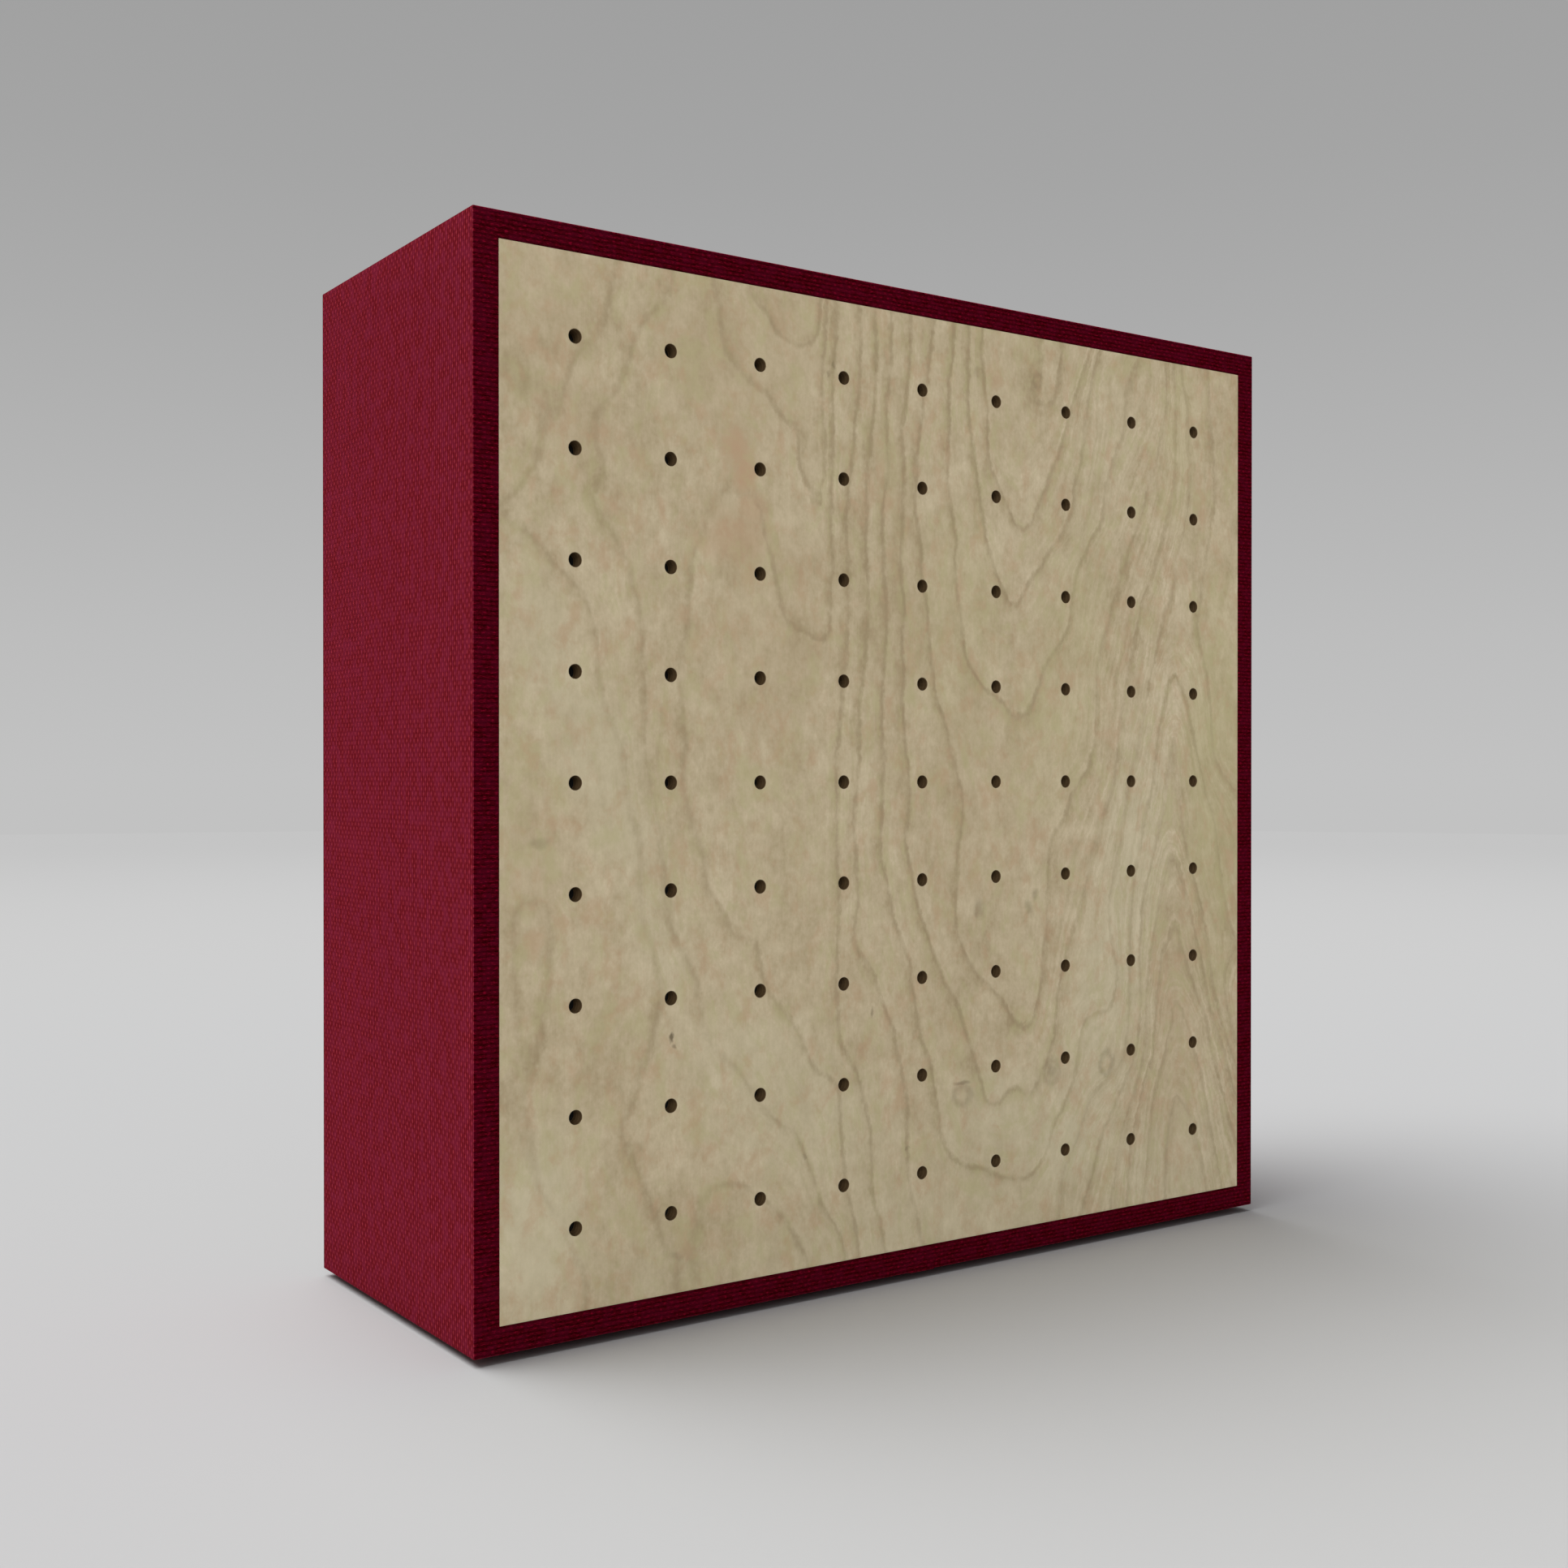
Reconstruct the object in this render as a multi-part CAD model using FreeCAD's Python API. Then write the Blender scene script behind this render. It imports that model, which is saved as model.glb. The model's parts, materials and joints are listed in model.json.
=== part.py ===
import FreeCAD, Part
import os

# Bass trap: a cloth-covered box with a perforated plywood front, filled with mineral wool.
# Millimetres. X runs across the front, Y from the front to the back, Z up.
# The origin is on the floor, under the middle of the box.

# Box, over the cloth
box_width = 600.0
box_height = 600.0
box_depth = 215.0

# Feet that hold the cloth clear of the floor
foot_height = 4.5
foot_size = 25.0
foot_side_inset = 40.0
foot_front_inset = 30.0

# Cloth-covered edge that shows round the front panel and the back board
border_width = 15.0

# Front panel and its holes
panel_thickness = 10.0
hole_diameter = 8.0
hole_pitch = 60.0
hole_edge_margin = 45.0

# Back board
back_thickness = 5.0

# Boards of the carcass
board_thickness = 22.0

# Cloth, and the fleece behind the holes
cloth_thickness = 0.8
fleece_thickness = 0.6

# Filling
wool_slab_names = ["wool_slab_front", "wool_slab_rear"]

# Clearances
panel_fit_gap = 0.2
filling_fit_gap = 0.3

# Places worked out from the sizes above
front_y = -box_depth / 2
back_y = box_depth / 2
underside_z = foot_height
middle_z = underside_z + box_height / 2
panel_width = box_width - 2 * border_width
panel_height = box_height - 2 * border_width
opening_inset = cloth_thickness + board_thickness
opening_width = box_width - 2 * opening_inset
opening_height = box_height - 2 * opening_inset
filling_width = opening_width - 2 * filling_fit_gap
filling_height = opening_height - 2 * filling_fit_gap
panel_back_y = front_y + panel_thickness
back_board_y = back_y - back_thickness
wool_front_y = panel_back_y + fleece_thickness
wool_slab_thickness = (back_board_y - wool_front_y) / len(wool_slab_names)


def upright_block(width, height, from_y, to_y):
    """A block centred on the front's middle, between two distances from front to back."""
    corner = FreeCAD.Vector(-width / 2, from_y, middle_z - height / 2)
    return Part.makeBox(width, to_y - from_y, height, corner)


def envelope(inset):
    """The outside of the box, drawn in by an inset on every side."""
    width = box_width - 2 * inset
    height = box_height - 2 * inset
    return upright_block(width, height, front_y + inset, back_y - inset)


def panel_recess(extra_width, from_y, to_y):
    """The space of a panel in its rebate, wider on each side by what lines it."""
    width = panel_width + 2 * extra_width
    height = panel_height + 2 * extra_width
    return upright_block(width, height, from_y, to_y)


def filling_opening():
    """The space between the inside faces of the four boards."""
    return upright_block(opening_width, opening_height, front_y, back_y)


def carcass():
    """The four boards as one frame, rebated in front and behind for panel and back board."""
    lining = panel_fit_gap + cloth_thickness
    front_rebate = panel_recess(lining, front_y, panel_back_y + cloth_thickness)
    back_rebate = panel_recess(lining, back_board_y - cloth_thickness, back_y)
    return envelope(cloth_thickness).cut([filling_opening(), front_rebate, back_rebate])


def carcass_boards():
    """The frame parted along the mitres at its four corners, as board name and solid."""
    names = ["bottom_board", "right_board", "top_board", "left_board"]
    half_width = box_width / 2
    top_z = underside_z + box_height
    reach = 2 * board_thickness
    outer = [
        FreeCAD.Vector(-half_width, front_y, underside_z),
        FreeCAD.Vector(half_width, front_y, underside_z),
        FreeCAD.Vector(half_width, front_y, top_z),
        FreeCAD.Vector(-half_width, front_y, top_z),
    ]
    inward = [(1, 1), (-1, 1), (-1, -1), (1, -1)]
    inner = []
    for corner, (across, up) in zip(outer, inward):
        inner.append(corner + FreeCAD.Vector(across * reach, 0, up * reach))
    frame = carcass()
    boards = {}
    for index, name in enumerate(names):
        following = (index + 1) % len(names)
        outline = [outer[index], outer[following], inner[following], inner[index], outer[index]]
        wedge = Part.Face(Part.makePolygon(outline)).extrude(FreeCAD.Vector(0, box_depth, 0))
        boards[name] = frame.common(wedge)
    return boards


def cloth_cover():
    """One skin of cloth round the box, turned over the edges and tucked into both rebates.

    It folds over the boards' sharp edges, so its outside turns there on its own thickness.
    """
    block = envelope(0)
    outside = block.makeFillet(cloth_thickness, block.Edges)
    front_recess = panel_recess(panel_fit_gap, front_y, panel_back_y)
    back_recess = panel_recess(panel_fit_gap, back_board_y, back_y)
    return outside.cut([carcass(), filling_opening(), front_recess, back_recess])


def hole_offsets(panel_size):
    """Places of the holes along one side of the panel, counted from its middle."""
    span = panel_size - 2 * hole_edge_margin
    steps = int(round(span / hole_pitch, 6))
    return [(index - steps / 2) * hole_pitch for index in range(steps + 1)]


def front_panel():
    """The plywood panel, drilled through on a square grid."""
    panel = upright_block(panel_width, panel_height, front_y, panel_back_y)
    drills = []
    for across in hole_offsets(panel_width):
        for up in hole_offsets(panel_height):
            centre = FreeCAD.Vector(across, front_y, middle_z + up)
            along = FreeCAD.Vector(0, 1, 0)
            drills.append(Part.makeCylinder(hole_diameter / 2, panel_thickness, centre, along))
    return panel.cut(drills)


def back_board():
    """The thin board that closes the box, flush in the rear rebate."""
    return upright_block(panel_width, panel_height, back_board_y, back_y)


def fleece_sheet():
    """The black fleece glued to the back of the panel, behind the holes."""
    return upright_block(filling_width, filling_height, panel_back_y, wool_front_y)


def wool_slabs():
    """The slabs of mineral wool, one behind the other, as slab name and solid."""
    slabs = {}
    for index, name in enumerate(wool_slab_names):
        from_y = wool_front_y + index * wool_slab_thickness
        slabs[name] = upright_block(
            filling_width, filling_height, from_y, from_y + wool_slab_thickness
        )
    return slabs


def feet():
    """The four square rubber feet under the bottom board, as foot name and solid."""
    half_size = foot_size / 2
    across = box_width / 2 - foot_side_inset
    along = box_depth / 2 - foot_front_inset
    places = {
        "foot_front_left": (-across, -along),
        "foot_front_right": (across, -along),
        "foot_back_left": (-across, along),
        "foot_back_right": (across, along),
    }
    blocks = {}
    for name, (x, y) in places.items():
        corner = FreeCAD.Vector(x - half_size, y - half_size, 0)
        blocks[name] = Part.makeBox(foot_size, foot_size, foot_height, corner)
    return blocks


def all_parts():
    """Every piece of the bass trap, as name and solid."""
    parts = {
        "front_panel": front_panel(),
        "cloth_cover": cloth_cover(),
        "back_board": back_board(),
        "fleece_sheet": fleece_sheet(),
    }
    parts.update(carcass_boards())
    parts.update(wool_slabs())
    parts.update(feet())
    return parts


os.makedirs("parts", exist_ok=True)
for part_name, shape in all_parts().items():
    solid = shape.Solids[0]
    solid.exportStep("parts/" + part_name + ".step")
    box = solid.BoundBox
    print(
        part_name,
        "solids", len(shape.Solids),
        "valid", solid.isValid(),
        "litres", round(solid.Volume / 1e6, 4),
        "size", round(box.XLength, 2), round(box.YLength, 2), round(box.ZLength, 2),
    )
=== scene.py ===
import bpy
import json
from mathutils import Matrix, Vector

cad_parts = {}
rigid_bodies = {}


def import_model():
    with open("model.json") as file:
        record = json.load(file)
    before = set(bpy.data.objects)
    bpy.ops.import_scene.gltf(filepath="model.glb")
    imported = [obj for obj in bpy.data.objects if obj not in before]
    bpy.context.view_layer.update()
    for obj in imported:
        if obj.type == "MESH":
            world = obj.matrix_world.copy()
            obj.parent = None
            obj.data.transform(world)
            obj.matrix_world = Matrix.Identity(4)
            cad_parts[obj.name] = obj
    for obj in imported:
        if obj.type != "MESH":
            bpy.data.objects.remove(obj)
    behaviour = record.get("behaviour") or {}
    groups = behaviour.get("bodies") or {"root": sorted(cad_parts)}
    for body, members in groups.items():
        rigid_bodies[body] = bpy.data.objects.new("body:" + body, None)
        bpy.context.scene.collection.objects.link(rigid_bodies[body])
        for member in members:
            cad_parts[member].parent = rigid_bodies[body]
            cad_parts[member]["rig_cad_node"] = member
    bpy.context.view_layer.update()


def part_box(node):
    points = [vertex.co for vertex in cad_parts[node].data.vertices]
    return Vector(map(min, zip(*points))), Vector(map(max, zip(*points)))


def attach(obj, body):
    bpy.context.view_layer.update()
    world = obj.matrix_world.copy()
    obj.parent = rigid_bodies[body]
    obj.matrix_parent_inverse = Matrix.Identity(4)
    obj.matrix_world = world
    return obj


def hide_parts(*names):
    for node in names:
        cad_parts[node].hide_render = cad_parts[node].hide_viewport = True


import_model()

import json
import logging
import math
from dataclasses import dataclass, field
from enum import Enum
from typing import Iterable, Sequence, Union

import bmesh
import bpy
import numpy as np
from mathutils import Vector

Colour = tuple[float, float, float]
Triple = tuple[float, float, float]
Number = Union[float, "Value"]
LOG = logging.getLogger("bass_trap")
MM = 0.001
THROUGH_MM = 40.0
POINT_GRID = 1e7
UV_WEAVE = "Weave"
FIGURE = "figure"
FIGURE_SLOPE = "figure_slope"


# Shader maths


class Value:
    """A number that varies over a surface; its arithmetic adds Math nodes."""

    def __init__(self, shader: "Shader", socket: bpy.types.NodeSocket) -> None:
        """Wraps a socket of the given shader."""
        self.shader = shader
        self.socket = socket

    def math(self, operation: str, *terms: Number) -> "Value":
        """One Math node.

        Args:
            operation: the node's operation.
            terms: its inputs in order, values or plain numbers.

        Returns:
            The node's result.
        """
        sockets = dict(enumerate(terms))
        node = self.shader.node("ShaderNodeMath", {"operation": operation}, sockets)
        return Value(self.shader, node.outputs[0])

    def __add__(self, other: Number) -> "Value":
        """Sum."""
        return self.math("ADD", self, other)

    def __sub__(self, other: Number) -> "Value":
        """Difference."""
        return self.math("SUBTRACT", self, other)

    def __rsub__(self, other: Number) -> "Value":
        """Difference from a plain number."""
        return self.math("SUBTRACT", other, self)

    def __mul__(self, other: Number) -> "Value":
        """Product."""
        return self.math("MULTIPLY", self, other)

    def __truediv__(self, other: Number) -> "Value":
        """Quotient."""
        return self.math("DIVIDE", self, other)

    def __abs__(self) -> "Value":
        """The value without its sign."""
        return self.math("ABSOLUTE", self)

    def __pow__(self, other: Number) -> "Value":
        """Power."""
        return self.math("POWER", self, other)

    __radd__ = __add__
    __rmul__ = __mul__

    def floor(self) -> "Value":
        """The whole number below."""
        return self.math("FLOOR", self)

    def nearest(self) -> "Value":
        """The nearest whole number."""
        return self.math("ROUND", self)

    def cosine(self) -> "Value":
        """Cosine of the value in radians."""
        return self.math("COSINE", self)

    def sine(self) -> "Value":
        """Sine of the value in radians."""
        return self.math("SINE", self)

    def at_least(self, other: Number) -> "Value":
        """The larger of the two."""
        return self.math("MAXIMUM", self, other)

    def at_most(self, other: Number) -> "Value":
        """The smaller of the two."""
        return self.math("MINIMUM", self, other)

    def rise(self, low: float, high: float) -> "Value":
        """Goes smoothly from 0 at low to 1 at high.

        Args:
            low: where the result is 0.
            high: where the result is 1.

        Returns:
            The eased result, held within 0 and 1.
        """
        settings = {"interpolation_type": "SMOOTHSTEP"}
        sockets = {"Value": self, "From Min": low, "From Max": high}
        node = self.shader.node("ShaderNodeMapRange", settings, sockets)
        return Value(self.shader, node.outputs["Result"])

    def hump(self, centre: float, reach: float) -> "Value":
        """1 at the centre and 0 from the reach on, to both sides."""
        return 1 - abs(self - centre).rise(0.0, reach)


class Shader:
    """The node tree of a material or of the world, filled through one method."""

    def __init__(self, owner: Union[bpy.types.Material, bpy.types.World]) -> None:
        """Empties the owner's tree and starts on it.

        Args:
            owner: the material or the world.
        """
        owner.use_nodes = True
        self.tree = owner.node_tree
        self.tree.nodes.clear()

    def node(
        self,
        kind: str,
        settings: dict[str, object] | None = None,
        sockets: dict[Union[str, int], object] | None = None,
    ) -> bpy.types.Node:
        """Any node.

        Args:
            kind: the node's type.
            settings: its properties, and for a ramp its stops, all set first.
            sockets: plain values or links for its inputs, by name or number.

        Returns:
            The new node.
        """
        node = self.tree.nodes.new(kind)
        for name, value in (settings or {}).items():
            if name == "stops":
                self._set_stops(node.color_ramp, value)
            else:
                setattr(node, name, value)
        for name, value in (sockets or {}).items():
            if isinstance(value, Value):
                self.tree.links.new(value.socket, node.inputs[name])
            elif isinstance(value, bpy.types.NodeSocket):
                self.tree.links.new(value, node.inputs[name])
            else:
                node.inputs[name].default_value = value
        return node

    @staticmethod
    def _set_stops(ramp: bpy.types.ColorRamp, stops: Sequence[tuple[float, Colour]]) -> None:
        """Gives a ramp its stops.

        Args:
            ramp: a new colour ramp, which has two stops.
            stops: place and colour of each stop, in order.
        """
        while len(ramp.elements) < len(stops):
            ramp.elements.new(1.0)
        for element, (place, colour) in zip(ramp.elements, stops):
            element.position = place
            element.color = (*colour, 1.0)

    def parts(self, vector: bpy.types.NodeSocket) -> list[Value]:
        """The three numbers of a vector."""
        node = self.node("ShaderNodeSeparateXYZ", sockets={0: vector})
        return [Value(self, output) for output in node.outputs]

    def vector(self, x: Number, y: Number, z: Number) -> bpy.types.NodeSocket:
        """A vector from three numbers."""
        node = self.node("ShaderNodeCombineXYZ", sockets={0: x, 1: y, 2: z})
        return node.outputs[0]

    def millimetres(self) -> bpy.types.NodeSocket:
        """The place on the object, in millimetres of the shared frame."""
        return self.stretch(self.node("ShaderNodeTexCoord").outputs["Object"], (1 / MM,) * 3)

    def stretch(self, vector: bpy.types.NodeSocket, factors: Triple) -> bpy.types.NodeSocket:
        """A vector multiplied along each axis."""
        sockets = {0: vector, 1: factors}
        return self.node("ShaderNodeVectorMath", {"operation": "MULTIPLY"}, sockets).outputs[0]

    def noise(
        self,
        vector: bpy.types.NodeSocket,
        sizes: Triple,
        detail: float = 2.0,
        roughness: float = 0.5,
        distortion: float = 0.0,
    ) -> Value:
        """Smooth noise around 0.5.

        Args:
            vector: the place, in millimetres.
            sizes: the size of a blot along each axis, in millimetres.
            detail: how many finer layers are added.
            roughness: how strong the finer layers are.
            distortion: how far the noise bends itself.

        Returns:
            The noise, mostly between 0.25 and 0.75.
        """
        factors = tuple(1.0 / size for size in sizes)
        sockets = {
            "Vector": self.stretch(vector, factors),
            "Scale": 1.0,
            "Detail": detail,
            "Roughness": roughness,
            "Distortion": distortion,
        }
        return Value(self, self.node("ShaderNodeTexNoise", None, sockets).outputs[0])

    def chance(self, first: Number, second: Number) -> Value:
        """A random number from 0 to 1 for each pair of whole numbers.

        Args:
            first: a whole number.
            second: a whole number.

        Returns:
            The random number, the same for the same pair.
        """
        # The shares keep the pair clear of the borders at which the noise changes.
        sockets = {"Vector": self.vector(first + 0.37, second + 0.61, 0.5)}
        node = self.node("ShaderNodeTexWhiteNoise", {"noise_dimensions": "3D"}, sockets)
        return Value(self, node.outputs["Value"])

    def attribute(self, name: str) -> Value:
        """A number stored with the mesh."""
        node = self.node("ShaderNodeAttribute", {"attribute_name": name})
        return Value(self, node.outputs["Fac"])

    def seen(self) -> Value:
        """What the camera sees, also in gloss and through glass, against what only lights.

        Returns:
            1 for the rays that see, and 0 for those that light.
        """
        path = self.node("ShaderNodeLightPath")
        rays = ("Is Camera Ray", "Is Glossy Ray", "Is Transmission Ray")
        camera, gloss, through = (Value(self, path.outputs[name]) for name in rays)
        return (camera + gloss + through).at_most(1.0)

    def blend(self, factor: Number, first: object, second: object) -> bpy.types.NodeSocket:
        """Mixes two colours.

        Args:
            factor: 0 gives the first colour and 1 the second.
            first: a colour or a link.
            second: a colour or a link.

        Returns:
            The mixed colour.
        """
        # A Mix node takes its two colours at sockets 6 and 7, and gives the mixed one at 2.
        sockets = {0: factor}
        for index, colour in ((6, first), (7, second)):
            sockets[index] = (*colour, 1.0) if isinstance(colour, tuple) else colour
        return self.node("ShaderNodeMix", {"data_type": "RGBA"}, sockets).outputs[2]

    def tint(self, factor: Value, first: object, second: object) -> bpy.types.NodeSocket:
        """Mixes two colours by a value that is first held within 0 and 1."""
        return self.blend(factor.at_least(0.0).at_most(1.0), first, second)

    def relief(self, height: Number, depth: float, strength: float) -> bpy.types.NodeSocket:
        """The normal of a surface with a fine relief.

        Args:
            height: the relief, where 1 is the full depth.
            depth: the full depth in millimetres.
            strength: how much of it shows.

        Returns:
            The normal.
        """
        sockets = {"Height": height, "Distance": depth * MM, "Strength": strength}
        return self.node("ShaderNodeBump", None, sockets).outputs["Normal"]

    def surface(self, sockets: dict[str, object]) -> None:
        """Closes a material with one Principled surface."""
        closing = self.node("ShaderNodeBsdfPrincipled", None, sockets)
        self.node("ShaderNodeOutputMaterial", None, {"Surface": closing.outputs[0]})


def new_material(name: str) -> tuple[bpy.types.Material, Shader]:
    """An empty material and the shader that fills it."""
    material = bpy.data.materials.new(name)
    return material, Shader(material)


# The finishes


@dataclass(frozen=True)
class Grain:
    """A layer of noise on a flat face: the width and height of its blots in millimetres.

    It is stretched right through the face, so that it varies only across and up.
    """

    wide: float
    high: float
    detail: float = 2.0
    roughness: float = 0.5
    weight: float = 1.0
    distortion: float = 0.0

    def noise(self, shader: Shader, place: bpy.types.NodeSocket) -> Value:
        """The layer's noise, around 0.5."""
        sizes = (self.wide, THROUGH_MM, self.high)
        return shader.noise(place, sizes, self.detail, self.roughness, self.distortion)

    def waver(self, shader: Shader, place: bpy.types.NodeSocket) -> Value:
        """The layer's noise around 0, by its weight."""
        return (self.noise(shader, place) - 0.5) * self.weight


class Tone(Enum):
    """What a stretch of the veneer differs in from the rest; near the foot the pale tone also
    carries painted light.
    """

    PALE = "pale"
    BROWN = "brown"
    GREEN = "green"
    ROSE = "rose"
    SPOT = "spot"
    RING = "ring"


@dataclass(frozen=True)
class Patch:
    """A soft-edged oval of the face with a tone of its own, wide as a band or small as a knot. Near
    the foot a pale one also carries painted light.

    Its place is across from the middle and up from the box's foot, in millimetres, as are its half
    width and half height. It leans to the right at its top by an angle in degrees.
    """

    tone: Tone
    across: float
    up: float
    half_width: float
    half_height: float
    lean: float = 0.0
    strength: float = 1.0

    def off_centre(self, x: Value, z: Value) -> Value:
        """How far a place is from the middle of the oval.

        Args:
            x: the place across, in millimetres.
            z: the place up, in millimetres.

        Returns:
            The distance, where 1 is the oval's edge.
        """
        turn = math.radians(self.lean)
        cos, sin = math.cos(turn), math.sin(turn)
        a = (x * cos - z * sin - (self.across * cos - self.up * sin)) / self.half_width
        b = (z * cos + x * sin - (self.up * cos + self.across * sin)) / self.half_height
        return (a * a + b * b) ** 0.5


# The pale patches centred less than 80 mm above the foot are partly the veneer's own pale tone and
# partly painted light that brightens the foot of the face against the shade near the floor.
PATCHES: tuple[Patch, ...] = (
    Patch(Tone.PALE, 165, 185, 44, 190, 13, 1.0),
    Patch(Tone.PALE, 70, 75, 85, 60, 0, 0.85),
    Patch(Tone.PALE, 122, 62, 52, 48, 0, 1.35),
    Patch(Tone.PALE, -262, 62, 44, 70, 0, 1.15),
    Patch(Tone.PALE, -232, 325, 26, 125, -27, 0.9),
    Patch(Tone.PALE, -185, 215, 24, 50, -20, 0.6),
    Patch(Tone.PALE, -100, 110, 110, 55, 35, 0.85),
    Patch(Tone.PALE, -190, 25, 40, 36, 0, 0.5),
    Patch(Tone.PALE, 150, 500, 34, 100, 8, 0.3),
    Patch(Tone.PALE, 20, 22, 190, 48, 0, 0.75),
    Patch(Tone.PALE, 215, 26, 90, 60, 0, 0.75),
    Patch(Tone.BROWN, -140, 540, 60, 60, 0, 0.6),
    Patch(Tone.BROWN, -262, 560, 40, 60, 0, 0.4),
    Patch(Tone.BROWN, -92, 562, 40, 40, 0, 0.5),
    Patch(Tone.BROWN, -112, 395, 48, 88, 0, 0.50),
    Patch(Tone.BROWN, -128, 425, 26, 55, 0, 0.5),
    Patch(Tone.BROWN, 42, 290, 48, 75, 0, 0.35),
    Patch(Tone.BROWN, -240, 498, 34, 36, 0, 0.5),
    Patch(Tone.BROWN, -268, 255, 24, 50, 0, 0.5),
    Patch(Tone.BROWN, -20, 420, 22, 160, 0, 0.35),
    Patch(Tone.BROWN, 225, 130, 26, 120, 0, 0.6),
    Patch(Tone.GREEN, 262, 300, 38, 160, 0, 1.0),
    Patch(Tone.GREEN, 228, 530, 24, 70, 0, 0.6),
    Patch(Tone.GREEN, 118, 370, 46, 105, 14, 0.55),
    Patch(Tone.GREEN, 30, 400, 40, 90, 0, 0.45),
    Patch(Tone.GREEN, -24, 488, 10, 60, 0, 0.5),
    Patch(Tone.BROWN, -135, 490, 16, 26, 0, 1.5),
    Patch(Tone.BROWN, -150, 456, 16, 10, 0, 0.8),
    Patch(Tone.ROSE, -137, 438, 29, 17, 0, 0.85),
    Patch(Tone.ROSE, -125, 456, 13, 13, 0, 0.95),
    Patch(Tone.ROSE, -131, 478, 9, 15, 0, 1.5),
    Patch(Tone.ROSE, -137, 493, 10, 9, 0, 1.1),
    Patch(Tone.ROSE, -158, 433, 8, 6, 0, 1.0),
    Patch(Tone.SPOT, -180, 158, 1.7, 3.0, 0, 1.0),
    Patch(Tone.SPOT, -178, 153, 1.2, 2.0, -20, 0.60),
    Patch(Tone.SPOT, -68, 547, 1.6, 3.4, 0, 0.50),
    Patch(Tone.SPOT, -71, 541, 1.4, 2.0, 0, 0.35),
    Patch(Tone.SPOT, -39, 161, 1.4, 4.0, 0, 0.50),
    Patch(Tone.SPOT, -89, 80, 1.3, 2.6, 0, 0.40),
    Patch(Tone.SPOT, -12, 77, 1.5, 2.2, 0, 0.40),
    Patch(Tone.SPOT, 32, 112, 8.0, 1.7, 4, 0.55),
    Patch(Tone.RING, 32, 104, 8.0, 6.5, 0, 0.26),
    Patch(Tone.SPOT, 46, 221, 5.6, 7.5, 0, 0.36),
    Patch(Tone.SPOT, 44, 217, 2.0, 3.0, 0, 0.36),
    Patch(Tone.SPOT, 88, 219, 3.8, 6.5, -15, 0.32),
    Patch(Tone.SPOT, 93, 228, 3.0, 4.5, 15, 0.34),
    Patch(Tone.SPOT, 108, 113, 6.0, 6.0, 0, 0.32),
    Patch(Tone.RING, 108, 112, 7.0, 8.0, 0, 0.22),
    Patch(Tone.RING, 157, 113, 6.0, 9.0, 0, 0.28),
    Patch(Tone.RING, 95, 557, 4.0, 5.0, 0, 0.20),
    Patch(Tone.SPOT, 44, 557, 3.5, 4.0, 0, 0.24),
    Patch(Tone.SPOT, -177, 36, 5.0, 2.6, 25, 0.26),
    Patch(Tone.SPOT, -262, 268, 7.0, 3.6, 0, 0.26),
)


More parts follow.
